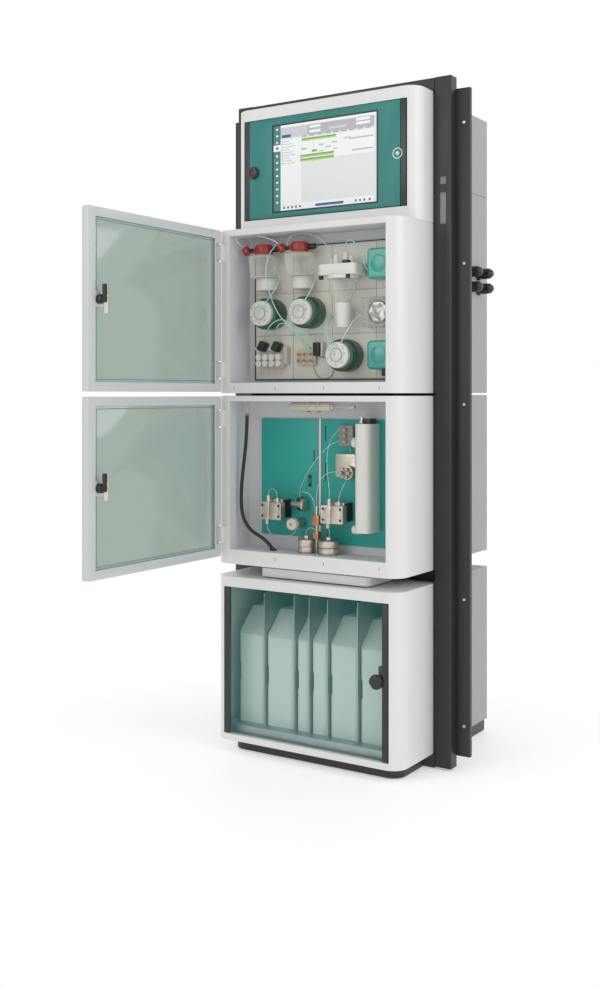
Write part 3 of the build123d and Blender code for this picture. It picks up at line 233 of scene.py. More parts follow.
def metal(name, base, shade, roughness, stretch=(400.0, 400.0, 8.0), spread=0.2):
    """Bare metal with streaks along the axis of the small stretch value."""
    material, tree, shader = new_material(name)
    values = {
        "Colour": (*base, 1), "Shade": (*shade, 1), "Stretch": stretch, "Roughness": roughness,
        "Spread": spread,
    }
    place_group(tree, metal_streaks, values, shader,
                {"Colour": "Base Color", "Roughness": "Roughness", "Normal": "Normal"})
    shader.inputs["Metallic"].default_value = 1.0
    return material


def clear(name, tint, roughness, index, transmission):
    """Clear plastic with a faintly uneven surface."""
    material, tree, shader = new_material(name)
    values = {
        "Colour": (*tint, 1), "Shade": (*tint, 1), "Patch Scale": 3.0,
        "Grain Scale": 300.0, "Grain Height": 0.00001, "Roughness": roughness, "Spread": 0.02,
    }
    place_group(tree, coat_grain, values, shader,
                {"Colour": "Base Color", "Roughness": "Roughness", "Normal": "Normal"})
    shader.inputs["Transmission Weight"].default_value = transmission
    shader.inputs["IOR"].default_value = index
    return material


def principled_of(material):
    """The Principled shader of a finished material."""
    return next(n for n in material.node_tree.nodes if n.type == "BSDF_PRINCIPLED")


def pane_look(name, base, shade, alpha, roughness=0.12):
    """Tinted pane whose alpha lets lamp light through, so what stands behind it is lit."""
    material = coated(name, base, shade, roughness, 200.0, 0.000004, 2.0, coat=0.6, spread=0.02)
    principled_of(material).inputs["Alpha"].default_value = alpha
    return material


def blown_look(name, base, thin, rim, roughness=0.05):
    """Clear glassware: nearly nothing where it faces the eye, pale and glossy at its rims."""
    material = pane_look(name, base, base, 1.0, roughness)
    tree = material.node_tree
    # The pale, more opaque rims partly show the glass seen edge-on and partly are painted reflection.
    facing = add(tree, "ShaderNodeLayerWeight", Blend=0.35)
    spread = add(tree, "ShaderNodeMapRange")
    spread.inputs["To Min"].default_value = thin
    spread.inputs["To Max"].default_value = rim
    wire(tree, (facing, "Facing", spread, "Value"))
    tree.links.new(spread.outputs["Result"], principled_of(material).inputs["Alpha"])
    return material


def lit_colour(name, base, strength):
    """One colour of the screen picture, lit from behind."""
    material, tree, shader = new_material(name)
    values = {"Colour": (*base, 1), "Shade": (*[c * 0.94 for c in base], 1), "Roughness": 0.25,
              "Patch Scale": 4.0, "Grain Height": 0.0, "Spread": 0.05}
    place_group(tree, coat_grain, values, shader,
                {"Colour": "Base Color", "Roughness": "Roughness"})
    shader.inputs["Emission Color"].default_value = (*base, 1)
    shader.inputs["Emission Strength"].default_value = strength
    return material


# %% [markdown]
# ## The finishes of this machine
# Each of the record's slots gets one finish here. The casings are warm white powder coat, the
# frame is nearly black, the fronts and small covers are teal, and the wetted parts are steel,
# red and white plastic. They could be made piece by piece, but one table keeps them in tune.

# %% Make the finishes
finish = {
    "housing_paint": coated("housing_paint", (0.77, 0.77, 0.75), (0.72, 0.72, 0.71), 0.38, 700,
                            0.00005),
    "interior_paint": coated("interior_paint", (0.63, 0.635, 0.65), (0.57, 0.575, 0.59), 0.45, 700,
                             0.00005),
    "frame_paint": coated("frame_paint", (0.012, 0.012, 0.013), (0.020, 0.020, 0.021), 0.42, 1100,
                          0.00008),
    "plate_steel": metal("plate_steel", (0.55, 0.56, 0.57), (0.42, 0.43, 0.44), 0.38, (60.0, 60.0,
                         5.0)),
    "rear_paint": coated("rear_paint", (0.37, 0.37, 0.375), (0.33, 0.33, 0.335), 0.42, 700, 0.00005),
    "foot_plastic": coated("foot_plastic", (0.02, 0.02, 0.02), (0.03, 0.03, 0.03), 0.6, 1200, 0.00006),
    "dark_profile": coated("dark_profile", (0.016, 0.017, 0.018), (0.022, 0.023, 0.024), 0.33, 1500,
                           0.00002),
    "teal_panel": coated("teal_panel", (0.017, 0.215, 0.19), (0.014, 0.19, 0.168), 0.42, 800, 0.00004),
    "screen": coated("screen", (0.02, 0.02, 0.022), (0.03, 0.03, 0.032), 0.35, 1200, 0.00002),
    "beige_board": coated("beige_board", (0.82, 0.79, 0.70), (0.75, 0.72, 0.64), 0.5, 500, 0.00005),
    "door_glass": pane_look("door_glass", (0.27, 0.38, 0.315), (0.245, 0.355, 0.29), 0.60),
    "reagent_glass": pane_look("reagent_glass", (0.0, 0.30, 0.25), (0.0, 0.27, 0.225), 0.13, 0.08),
    "clear_glass": blown_look("clear_glass", (0.88, 0.87, 0.83), 0.05, 0.75),
    "canister_plastic": coated("canister_plastic", (0.86, 0.94, 0.91), (0.78, 0.89, 0.86), 0.35, 250,
                               0.0001),
    "cap_plastic": coated("cap_plastic", (0.20, 0.30, 0.29), (0.16, 0.25, 0.24), 0.4, 1200, 0.00003),
    "red_plastic": coated("red_plastic", (0.42, 0.022, 0.016), (0.34, 0.016, 0.012), 0.3, 1200, 0.00003,
                          coat=0.3),
    "white_plastic": coated("white_plastic", (0.76, 0.75, 0.70), (0.70, 0.69, 0.64), 0.35, 1200,
                            0.00003),
    "beige_plastic": coated("beige_plastic", (0.66, 0.60, 0.50), (0.58, 0.53, 0.44), 0.42, 1200,
                            0.00003),
    "green_plastic": coated("green_plastic", (0.016, 0.085, 0.052), (0.024, 0.12, 0.075), 0.22, 1200,
                            0.00003, coat=0.4),
    "teal_plastic": coated("teal_plastic", (0.045, 0.42, 0.33), (0.03, 0.30, 0.24), 0.2, 120, 0.0006,
                           coat=0.5),
    "clear_plastic": blown_look("clear_plastic", (0.62, 0.61, 0.60), 0.22, 0.9, 0.12),
    "roller_metal": metal("roller_metal", (0.50, 0.48, 0.47), (0.30, 0.29, 0.28), 0.22,
                          (300.0, 20.0, 300.0)),
    "machined_steel": metal("machined_steel", (0.66, 0.60, 0.53), (0.50, 0.45, 0.39), 0.32,
                            (9.0, 300.0, 300.0)),
    "black_plastic": coated("black_plastic", (0.014, 0.014, 0.015), (0.02, 0.02, 0.021), 0.36, 1300,
                            0.00004),
    "grey_plastic": coated("grey_plastic", (0.25, 0.26, 0.27), (0.21, 0.22, 0.23), 0.45, 1300, 0.00004),
    "white_metal": coated("white_metal", (0.75, 0.75, 0.73), (0.68, 0.68, 0.66), 0.32, 900, 0.00003),
    "teal_tube": clear("teal_tube", (0.50, 0.86, 0.80), 0.12, 1.38, 0.35),
    "steel_capillary": metal("steel_capillary", (0.66, 0.68, 0.58), (0.52, 0.55, 0.47), 0.25,
                             (90.0, 90.0, 90.0)),
    "hose_rubber": coated("hose_rubber", (0.010, 0.010, 0.010), (0.016, 0.016, 0.016), 0.45, 1500,
                          0.00005),
}
print("finishes", len(finish))

# %% [markdown]
# ## Dressing a CAD piece
# The imported model shows flat facets and knife edges. A real sheet or moulding has a small
# radius on every edge, and that thin highlight is what makes it look real. So each node gets
# a copy with its points merged and flat faces dissolved, a Bevel modifier baked in, and smooth
# shading up to a stated angle. The copy then stands for the node. A few nodes look different
# from the rest of their slot: the back plate is painted like the frame, the purge knob is
# moulded, the lower panels have a tone of their own, and the open door frames get a darker
# copy of the housing paint, which is painted shade.


# %% Dress a node
def keep(obj, body):
    """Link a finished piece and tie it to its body."""
    if obj.name not in bpy.context.scene.collection.objects:
        bpy.context.scene.collection.objects.link(obj)
    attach(obj, body)
    return obj


def baked(obj):
    """Apply an object's modifiers by taking its evaluated mesh."""
    bpy.context.view_layer.update()
    graph = bpy.context.evaluated_depsgraph_get()
    mesh = bpy.data.meshes.new_from_object(obj.evaluated_get(graph))
    obj.modifiers.clear()
    obj.data = mesh
    return obj


bevel_angle, smooth_angle, flat_angle, weld_distance = 40, 38, 1.0, 2e-6


def soft_edges(obj, width, segments=2):
    """Round the edges that are sharper than the bevel angle, and shade the rest smooth."""
    bpy.context.scene.collection.objects.link(obj)
    if width:
        bevel = obj.modifiers.new("edge", "BEVEL")
        bevel.width = width
        bevel.segments = segments
        bevel.limit_method = "ANGLE"
        bevel.angle_limit = math.radians(bevel_angle)
        bevel.harden_normals = False
        baked(obj)
    obj.data.shade_smooth()
    obj.data.set_sharp_from_angle(angle=math.radians(smooth_angle))
    return obj


def merged_mesh(node):
    """Copy of a CAD node's mesh with its points merged and its flat faces whole."""
    work = bmesh.new()
    work.from_mesh(frame["nodes"][node].data)
    bmesh.ops.remove_doubles(work, verts=work.verts, dist=weld_distance)
    bmesh.ops.dissolve_limit(work, angle_limit=math.radians(flat_angle), verts=work.verts,
                             edges=work.edges)
    mesh = bpy.data.meshes.new(node + "_mesh")
    work.to_mesh(mesh)
    work.free()
    return mesh


def dress(node, width, material=None, slot=None):
    """Make the softened stand-in of a node, with its slot's finish unless it has its own."""
    obj = bpy.data.objects.new(node + "_skin", merged_mesh(node))
    soft_edges(obj, width)
    slot = slot or slot_of_node[node]
    obj.data.materials.clear()
    obj.data.materials.append(material or finish[slot])
    keep(obj, body_of_node[node])
    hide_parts(node)
    return obj


edge_width = {
    "upper_wet_housing": 0.0008, "lower_wet_housing": 0.0008, "display_housing": 0.0008,
    "reagent_housing": 0.0008, "upper_door_frame": 0.0012, "middle_door_frame": 0.0012,
    "upper_liner": 0.0006, "lower_liner": 0.0006, "left_column": 0.0010, "right_column": 0.0010,
    "plinth": 0.0015, "canisters": 0.004, "dosing_heads": 0.0007, "cell_lid": 0.0012,
    "column_holder": 0.002, "pump_boxes": 0.001, "roller_pump_body": 0.0015, "valve_blocks": 0.0006,
    "solenoid_valves": 0.001, "upper_door_glass": 0.0004, "middle_door_glass": 0.0004,
    "reagent_door_glass": 0.0004, "vessel_glass": 0.0004, "cell_glass": 0.0004,
}
default_edge = 0.0005
replaced_by_curves = ("upper_tubing", "waste_hose")
other_looks = {"back_plate": "frame_paint", "purge_knob": "beige_plastic"}
# Darker copy of the housing paint for the open door frames: painted shade.
door_frame_shade_paint = coated("door_frame_shade_paint", (0.60, 0.625, 0.62), (0.56, 0.585, 0.58), 0.38, 700, 0.00005)
lower_teal = coated("lower_teal", (0.028, 0.39, 0.34), (0.024, 0.35, 0.305), 0.42, 800, 0.00004)
own_looks = {
    "upper_door_frame": door_frame_shade_paint, "middle_door_frame": door_frame_shade_paint, "lower_panels": lower_teal,
    **{node: finish[slot] for node, slot in other_looks.items()},
}
skins = {}
for node in sorted(frame["nodes"]):
    if node in replaced_by_curves:
        continue
    skins[node] = dress(node, edge_width.get(node, default_edge), own_looks.get(node),
                        other_looks.get(node))
print("dressed", len(skins), "nodes,", sum(len(o.data.polygons) for o in skins.values()), "faces")

# %% [markdown]
# ## Studio
# The portrait stands in a white sweep. The world gives an even light, one large soft lamp in
# front gives the pale fronts their shape, and a second one lights the cabinets' right sides and
# the open doors. A picture of a real studio could light it too, but plain lamps need no file and
# are easy to change. The camera, glossy surfaces and clear tubes see the world as white. The
# floor glows a little, so that it stays white and keeps the contact shadow, and it fades into
# plain white further out.

# %% World, floor and lamps
world_light, white_level, floor_glow = 0.63, 1.0, 0.40
fade_start, fade_end = 0.50, 1.15
scene = bpy.context.scene
world = bpy.data.worlds.new("studio")
scene.world = world
world.use_nodes = True
tree = world.node_tree
tree.nodes.clear()
path = add(tree, "ShaderNodeLightPath")
seen_or_glossy = add(tree, "ShaderNodeMath", operation="MAXIMUM")
seen = add(tree, "ShaderNodeMath", operation="MAXIMUM")
light = add(tree, "ShaderNodeBackground", Color=(1, 1, 1, 1), Strength=world_light)
white = add(tree, "ShaderNodeBackground", Color=(1, 1, 1, 1), Strength=white_level)
either = add(tree, "ShaderNodeMixShader")
end = add(tree, "ShaderNodeOutputWorld")
wire(tree, (path, "Is Camera Ray", seen_or_glossy, 0), (path, "Is Glossy Ray", seen_or_glossy, 1),
     (seen_or_glossy, 0, seen, 0), (path, "Is Transmission Ray", seen, 1), (seen, 0, either, 0),
     (light, 0, either, 1), (white, 0, either, 2), (either, 0, end, 0))


def lamp(name, place, target, size, power):
    """Square soft lamp that looks at a point."""
    data = bpy.data.lights.new(name, "AREA")
    data.shape = "SQUARE"
    data.size = size
    data.energy = power
    obj = bpy.data.objects.new(name, data)
    obj.location = place
    obj.rotation_euler = (Vector(target) - Vector(place)).to_track_quat("-Z", "Y").to_euler()
    scene.collection.objects.link(obj)


lamp("front_softbox", place=(-1.4, -4.2, 2.6), target=(0, 0, 1.0), size=2.6, power=36)
lamp("side_softbox", place=(4.2, -0.6, 2.4), target=(0, 0.2, 1.0), size=2.2, power=48)

floor_mesh = bpy.data.meshes.new("floor")
reach = 30.0
floor_corners = [(-reach, -reach, 0), (reach, -reach, 0), (reach, reach, 0), (-reach, reach, 0)]
floor_mesh.from_pydata(floor_corners, [], [(0, 1, 2, 3)])
floor = bpy.data.objects.new("floor", floor_mesh)
scene.collection.objects.link(floor)
floor_paint, tree, shader = new_material("floor_paint")
shader.inputs["Base Color"].default_value = (0.80, 0.80, 0.80, 1)
shader.inputs["Emission Color"].default_value = (1, 1, 1, 1)
shader.inputs["Emission Strength"].default_value = floor_glow
shader.inputs["Roughness"].default_value = 0.6
shader.inputs["Specular IOR Level"].default_value = 0.2
where = add(tree, "ShaderNodeTexCoord")
flat_distance = add(tree, "ShaderNodeVectorMath", operation="LENGTH")
fade = add(tree, "ShaderNodeMapRange", interpolation_type="SMOOTHSTEP")
fade.inputs["From Min"].default_value = fade_start
fade.inputs["From Max"].default_value = fade_end
glow = add(tree, "ShaderNodeEmission", Color=(1, 1, 1, 1), Strength=white_level)
either = add(tree, "ShaderNodeMixShader")
end = next(n for n in tree.nodes if n.type == "OUTPUT_MATERIAL")
wire(tree, (where, "Object", flat_distance, 0), (flat_distance, "Value", fade, "Value"),
     (fade, "Result", either, 0), (shader, 0, either, 1), (glow, 0, either, 2), (either, 0, end, 0))
floor.data.materials.append(floor_paint)

# %% [markdown]
# ## Tubes and the hose
# The thin tubes of the upper cabinet run from fitting to fitting, and the black hose of the
# lower one hangs from a clear sleeve down to the floor of its compartment. A rigid sweep could
# stand for them, but a spline bends softly and needs few points. Each route lists given
# control points: X, depth behind the front plane and height above the cabinet's underside, in
# metres. The spline starts and ends on its first and last point and eases past the others.

# %% Tube routes
upper_tube_routes = {
    "vessel_left_feed": (0.045, [
        (-0.240, 0.022, 0.4526), (-0.240, 0.024, 0.442), (-0.236, 0.032, 0.433), (-0.231, 0.041, 0.427),
        (-0.2259, 0.047, 0.4214),
    ]),
    "vessel_right_feed": (0.080, [
        (-0.172, 0.030, 0.4505), (-0.152, 0.030, 0.4485), (-0.129, 0.032, 0.441), (-0.112, 0.040, 0.431),
        (-0.1038, 0.047, 0.4213),
    ]),
    "ceiling_arch": (0.200, [
        (-0.080, 0.047, 0.4174), (-0.079, 0.045, 0.434), (-0.063, 0.043, 0.446), (-0.036, 0.044, 0.450),
        (-0.008, 0.047, 0.448), (0.019, 0.050, 0.437), (0.042, 0.052, 0.418), (0.059, 0.052, 0.396),
        (0.063, 0.052, 0.3734),
    ]),
    "crossing_line": (0.362, [
        (-0.104, 0.026, 0.421), (-0.117, 0.018, 0.405), (-0.122, 0.008, 0.379), (-0.125, 0.004, 0.350),
        (-0.124, 0.004, 0.319), (-0.112, 0.005, 0.279), (-0.097, 0.007, 0.244), (-0.079, 0.008, 0.215),
        (-0.055, 0.009, 0.192), (-0.030, 0.022, 0.175), (-0.014, 0.044, 0.165), (-0.006, 0.066, 0.158),
        (-0.004, 0.082, 0.1461),
    ]),
    "left_head_line": (0.170, [
        (-0.1232, 0.053, 0.344), (-0.108, 0.047, 0.343), (-0.098, 0.036, 0.325), (-0.098, 0.022, 0.303),
        (-0.108, 0.011, 0.281), (-0.125, 0.007, 0.260), (-0.141, 0.008, 0.243), (-0.155, 0.011, 0.232),
        (-0.159, 0.021, 0.229),
    ]),
    "right_head_line": (0.163, [
        (-0.0012, 0.053, 0.344), (0.013, 0.047, 0.343), (0.021, 0.036, 0.325), (0.022, 0.022, 0.301),
        (0.015, 0.011, 0.278), (0.001, 0.007, 0.256), (-0.013, 0.008, 0.240), (-0.025, 0.011, 0.231),
        (-0.028, 0.021, 0.229),
    ]),
    "cell_line": (0.149, [
        (0.107, 0.056, 0.3894), (0.106, 0.052, 0.406), (0.115, 0.047, 0.422), (0.134, 0.045, 0.419),
        (0.150, 0.046, 0.399), (0.161, 0.049, 0.374), (0.164, 0.055, 0.351), (0.1701, 0.066, 0.335),
    ]),
    "left_valve_line": (0.283, [
        (-0.1824, 0.086, 0.1502), (-0.177, 0.077, 0.162), (-0.160, 0.058, 0.172), (-0.140, 0.036, 0.182),
        (-0.116, 0.019, 0.196), (-0.092, 0.014, 0.207), (-0.070, 0.014, 0.208), (-0.054, 0.015, 0.195),
        (-0.043, 0.028, 0.173), (-0.035, 0.050, 0.154), (-0.029, 0.072, 0.140), (-0.025, 0.090, 0.1246),
    ]),
    "right_valve_line": (0.223, [
        (-0.1334, 0.086, 0.1483), (-0.128, 0.076, 0.159), (-0.117, 0.056, 0.172), (-0.108, 0.034, 0.185),
        (-0.093, 0.022, 0.196), (-0.073, 0.020, 0.199), (-0.057, 0.024, 0.187), (-0.048, 0.041, 0.169),
        (-0.044, 0.062, 0.153), (-0.043, 0.080, 0.139), (-0.042, 0.091, 0.1247),
    ]),
    "head_loop_outer": (0.180, [
        (0.034, 0.1006, 0.221), (0.035, 0.085, 0.219), (0.039, 0.063, 0.209), (0.048, 0.040, 0.191),
        (0.060, 0.025, 0.167), (0.072, 0.014, 0.143), (0.082, 0.009, 0.122), (0.090, 0.011, 0.108),
        (0.093, 0.021, 0.105),
    ]),
    "head_loop_inner": (0.150, [
        (0.042, 0.1006, 0.215), (0.043, 0.085, 0.213), (0.047, 0.064, 0.203), (0.056, 0.044, 0.185),
        (0.067, 0.030, 0.163), (0.079, 0.019, 0.146), (0.092, 0.014, 0.134), (0.099, 0.0236, 0.128),
    ]),
    "roller_line": (0.103, [
        (0.1516, 0.074, 0.215), (0.142, 0.071, 0.214), (0.131, 0.062, 0.205), (0.123, 0.051, 0.189),
        (0.117, 0.041, 0.169), (0.110, 0.034, 0.154), (0.1054, 0.032, 0.1403),
    ]),
}
drain_loop_route = [
    (-0.002, 0.090, 0.1056), (0.011, 0.092, 0.1015), (0.029, 0.094, 0.100), (0.043, 0.095, 0.087),
    (0.047, 0.095, 0.067), (0.038, 0.095, 0.049), (0.020, 0.095, 0.040), (0.001, 0.094, 0.042),
    (-0.013, 0.093, 0.054), (-0.019, 0.093, 0.069), (-0.0195, 0.093, 0.0801),
]
hose_route = [
    (-0.210, 0.035, 0.433), (-0.211, 0.035, 0.391), (-0.214, 0.035, 0.349), (-0.219, 0.035, 0.307),
    (-0.225, 0.035, 0.265), (-0.2295, 0.035, 0.223), (-0.231, 0.035, 0.181), (-0.228, 0.035, 0.145),
    (-0.216, 0.036, 0.115), (-0.194, 0.038, 0.093), (-0.169, 0.040, 0.081), (-0.145, 0.042, 0.067),
    (-0.126, 0.044, 0.0456),
]


# %% [markdown]
# ## Splines for the tubes
# A tube bends smoothly under its own stiffness. A NURBS spline with a round bevel gives that
# line from few points.
# Three tubes are milky, the drain loop is dark, and the rest is tinted green.

# %% Draw the tubes as splines
def spline_tube(name, route, level, radius, material):
    """Round tube along a NURBS spline that the route's points control."""
    curve = bpy.data.curves.new(name, "CURVE")
    curve.dimensions = "3D"
    curve.bevel_depth = radius
    curve.bevel_resolution = 4
    curve.resolution_u = 8
    curve.use_fill_caps = True
    spline = curve.splines.new("NURBS")
    spline.points.add(len(route) - 1)
    for point, (x, depth, rise) in zip(spline.points, route):
        point.co = (x, front_y + depth, level + rise, 1)
    spline.order_u = 3
    spline.use_endpoint_u = True
    obj = bpy.data.objects.new(name, curve)
    curve.materials.append(material)
    return keep(obj, "root")


tube_radius = 0.0015
loop_radius = 0.0008
hose_radius = 0.005
white_tubes = ("vessel_left_feed", "vessel_right_feed", "roller_line")
white_tube = clear("white_tube", (0.92, 0.96, 0.95), 0.15, 1.38, 0.3)
dark_tube = coated("dark_tube", (0.03, 0.04, 0.035), (0.05, 0.06, 0.055), 0.3, 1500, 0.00002)
for name, (length, route) in upper_tube_routes.items():
    look = white_tube if name in white_tubes else finish["teal_tube"]
    line = spline_tube(name, route, upper_bottom, tube_radius, look)
    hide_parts("upper_tubing")
drain_loop = spline_tube("drain_loop", drain_loop_route, upper_bottom, loop_radius,
                         dark_tube)
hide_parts("upper_tubing")
hose = spline_tube("waste_hose_line", hose_route, lower_bottom, hose_radius,
                   finish["hose_rubber"])
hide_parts("waste_hose")

# %% [markdown]
# ## Small parts from blocks and lathe profiles
# Fittings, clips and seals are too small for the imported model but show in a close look. Blender
# can add cubes and cylinders one by one, but drawing closed blocks and turned profiles into one
# mesh keeps a piece whole, at the origin and unscaled. Places are in millimetres: X, depth
# behind the front plane and height above the floor. A bevel then rounds the edges as on the
# larger pieces.


# %% Shapes for small parts
def spot(x, depth, z):
    """Frame position of a point given in millimetres behind the front plane."""
    return Vector((x / 1000, front_y + depth / 1000, z / 1000))


def block(x0, x1, d0, d1, z0, z1):
    """Block between two corners."""
    def draw(work):
        low, high = spot(x0, d0, z0), spot(x1, d1, z1)
        for vert in bmesh.ops.create_cube(work, size=1)["verts"]:
            vert.co = Vector([low[i] + (high[i] - low[i]) * (vert.co[i] + 0.5) for i in range(3)])
    return draw


def turned(x, depth, z, axis, profile, sides=36):
    """Lathe a closed (radius, along) profile about an axis through a point."""
    def draw(work):
        rings = []
        for radius, along in profile:
            ring = []
            for step in range(sides if radius else 1):
                angle = 2 * math.pi * step / sides
                u, v = radius * math.cos(angle), radius * math.sin(angle)
                place = {"x": (x + along, depth + u, z + v), "y": (x + u, depth + along, z + v),
                         "z": (x + u, depth + v, z + along)}[axis]
                ring.append(work.verts.new(spot(*place)))
            rings.append(ring)
        if profile[0][0]:
            rings.append(rings[0])
        for first, second in zip(rings, rings[1:]):
            for step in range(sides):
                after = (step + 1) % sides
                corners = [first[step % len(first)], first[after % len(first)],
                           second[after % len(second)], second[step % len(second)]]
                face = list(dict.fromkeys(corners))
                if len(face) > 2:
                    work.faces.new(face)
    return draw


def ring_profile(inner, outer, low, high):
    """Profile of a flat ring."""
    return [(inner, low), (outer, low), (outer, high), (inner, high)]


def disc_profile(radius, low, high, chamfer=0.0):
    """Profile of a disc with a chamfered far edge."""
    return [(0, low), (radius, low), (radius, high - chamfer), (radius - chamfer, high), (0, high)]


def piece(name, body, material, shapes, bevel=0.0003):
    """One named piece made of closed shapes."""
    work = bmesh.new()
    for draw in shapes:
        draw(work)
    bmesh.ops.recalc_face_normals(work, faces=work.faces)
    mesh = bpy.data.meshes.new(name + "_mesh")
    work.to_mesh(mesh)
    work.free()
    obj = bpy.data.objects.new(name, mesh)
    soft_edges(obj, bevel)
    obj.data.materials.append(material)
    print(name, "has", len(obj.data.polygons), "faces and rides", body)
    return keep(obj, body)


# %% [markdown]
# ## Studs, buttons and ribs by Geometry Nodes
# Screws, valve buttons, port nipples and cooling ribs repeat with one size. They could be
# copied by hand, but a node tree keeps one shape for all of them. Two small trees make them,
# with named inputs: this one sets a chamfered stud on each point of a cloud, and the next one
# sets a ring of ribs round each point.

# %% Tree: studs on points
def tree_with(name, sockets):
    """Geometry node tree with a geometry input, named sockets and a geometry output."""
    geometry = ("Geometry", "NodeSocketGeometry", None)
    tree, first, last = new_group(name, "GeometryNodeTree", [geometry, *sockets],
                                  [("Geometry", "NodeSocketGeometry")])
    tree.is_modifier = True
    return tree, first, last


def finish_tree(tree, first, last, instances):
    """Realize the instances, give them the material and shade them."""
    real = add(tree, "GeometryNodeRealizeInstances")
    paint = add(tree, "GeometryNodeSetMaterial")
    tree.links.new(instances, real.inputs["Geometry"])
    wire(tree, (real, "Geometry", paint, "Geometry"), (first, "Material", paint, "Material"),
         (paint, "Geometry", last, "Geometry"))


stud_tree, first, last = tree_with("studs_on_points", [
    ("Radius", number, 0.003), ("Height", number, 0.003), ("Chamfer", number, 0.0005),
    ("Sides", "NodeSocketInt", 16), ("Turn", "NodeSocketVector", (0.0, 0.0, 0.0)),
    ("Material", "NodeSocketMaterial", None),
])
shaft_height = add(stud_tree, "ShaderNodeMath", operation="SUBTRACT")
half_height = add(stud_tree, "ShaderNodeMath", operation="MULTIPLY")
half_height.inputs[1].default_value = 0.5
top_radius = add(stud_tree, "ShaderNodeMath", operation="SUBTRACT")
shaft = add(stud_tree, "GeometryNodeMeshCylinder")
cap = add(stud_tree, "GeometryNodeMeshCone")
lift_shaft = add(stud_tree, "GeometryNodeTransform")
lift_cap = add(stud_tree, "GeometryNodeTransform")
shaft_place = add(stud_tree, "ShaderNodeCombineXYZ")
cap_place = add(stud_tree, "ShaderNodeCombineXYZ")
both = add(stud_tree, "GeometryNodeJoinGeometry")
weld = add(stud_tree, "GeometryNodeMergeByDistance", Distance=0.00001)
on_points = add(stud_tree, "GeometryNodeInstanceOnPoints")
wire(stud_tree, (first, "Height", shaft_height, 0), (first, "Chamfer", shaft_height, 1),
     (shaft_height, 0, half_height, 0), (first, "Radius", top_radius, 0),
     (first, "Chamfer", top_radius, 1))
for part in (shaft, cap):
    wire(stud_tree, (first, "Sides", part, "Vertices"))
wire(stud_tree, (first, "Radius", shaft, "Radius"), (shaft_height, 0, shaft, "Depth"),
     (first, "Radius", cap, "Radius Bottom"), (top_radius, 0, cap, "Radius Top"),
     (first, "Chamfer", cap, "Depth"), (half_height, 0, shaft_place, "Z"),
     (shaft_height, 0, cap_place, "Z"), (shaft, "Mesh", lift_shaft, "Geometry"),
     (shaft_place, 0, lift_shaft, "Translation"), (cap, "Mesh", lift_cap, "Geometry"),
     (cap_place, 0, lift_cap, "Translation"), (lift_cap, 0, both, 0), (lift_shaft, 0, both, 0),
     (both, 0, weld, "Geometry"), (first, "Geometry", on_points, "Points"),
     (weld, 0, on_points, "Instance"), (first, "Turn", on_points, "Rotation"))
finish_tree(stud_tree, first, last, on_points.outputs["Instances"])

# %% [markdown]
# ## The rib tree
# The drives of the dosing units and the screw caps are ribbed all round. An Array modifier could
# turn one rib about an empty, but it makes a single ring and needs a helper object. The tree
# puts one thin block on each point of a circle, turns it outwards by its index, and sets the
# whole ring on every point of the cloud.

# %% Tree: rings of ribs on points
rib_tree, first, last = tree_with("ribs_round_points", [
    ("Count", "NodeSocketInt", 24), ("Ring Radius", number, 0.02),
    ("Rib Size", "NodeSocketVector", (0.001, 0.001, 0.01)),
    ("Turn", "NodeSocketVector", (0.0, 0.0, 0.0)), ("Material", "NodeSocketMaterial", None),
])
circle = add(rib_tree, "GeometryNodeMeshCircle")
rib = add(rib_tree, "GeometryNodeMeshCube")
index = add(rib_tree, "GeometryNodeInputIndex")
full_turn = add(rib_tree, "ShaderNodeMath", operation="DIVIDE")
full_turn.inputs[0].default_value = 2 * math.pi
rib_turn = add(rib_tree, "ShaderNodeMath", operation="MULTIPLY")
about_axis = add(rib_tree, "ShaderNodeCombineXYZ")
on_circle = add(rib_tree, "GeometryNodeInstanceOnPoints")
on_points = add(rib_tree, "GeometryNodeInstanceOnPoints")
wire(rib_tree, (first, "Count", circle, "Vertices"), (first, "Ring Radius", circle, "Radius"),
     (first, "Rib Size", rib, "Size"), (first, "Count", full_turn, 1), (index, 0, rib_turn, 0),
     (full_turn, 0, rib_turn, 1), (rib_turn, 0, about_axis, "Z"), (circle, "Mesh", on_circle, "Points"),
     (rib, "Mesh", on_circle, "Instance"), (about_axis, 0, on_circle, "Rotation"),
     (first, "Geometry", on_points, "Points"), (on_circle, "Instances", on_points, "Instance"),
     (first, "Turn", on_points, "Rotation"))
finish_tree(rib_tree, first, last, on_points.outputs["Instances"])


# %% [markdown]
# ## From points to one plain mesh
# A cloud of loose points says where the studs or rings stand. The modifier is evaluated once and
# its result becomes the mesh of the piece, so that nothing live is left on it.

# %% Use a tree on a cloud of points
stud_smooth_angle = 35


def repeat(name, tree, body, slot, material, places, **sizes):
    """Run a tree on points given in millimetres and keep the result as one plain mesh."""
    cloud = bpy.data.meshes.new(name + "_cloud")
    cloud.from_pydata([spot(*place) for place in places], [], [])
    obj = bpy.data.objects.new(name, cloud)
    bpy.context.scene.collection.objects.link(obj)
    modifier = obj.modifiers.new("repeat", "NODES")
    modifier.node_group = tree
    values = {title.replace("_", " "): value for title, value in sizes.items()}
    values["Material"] = material
    for item in tree.interface.items_tree:
        if item.item_type == "SOCKET" and item.in_out == "INPUT" and item.name in values:
            modifier[item.identifier] = values[item.name]
    baked(obj)
    obj.data.shade_smooth()
    obj.data.set_sharp_from_angle(angle=math.radians(stud_smooth_angle))
    print(name, "stands on", len(places), "points with", len(obj.data.polygons), "faces")
    return keep(obj, body)


towards_front = (math.radians(90), 0.0, 0.0)
upright = (0.0, 0.0, 0.0)

# %% [markdown]
# ## The screen's picture
# The touch screen shows a measuring plan: a sidebar of square icons, header rows, and bars on
# a time line. An image could be laid on it, but one mesh of flat rectangles needs no file, and
# its colours are fields with sharp edges at any distance. The rectangles lie a few thousandths
# of a millimetre apart, each in front of the one before it.

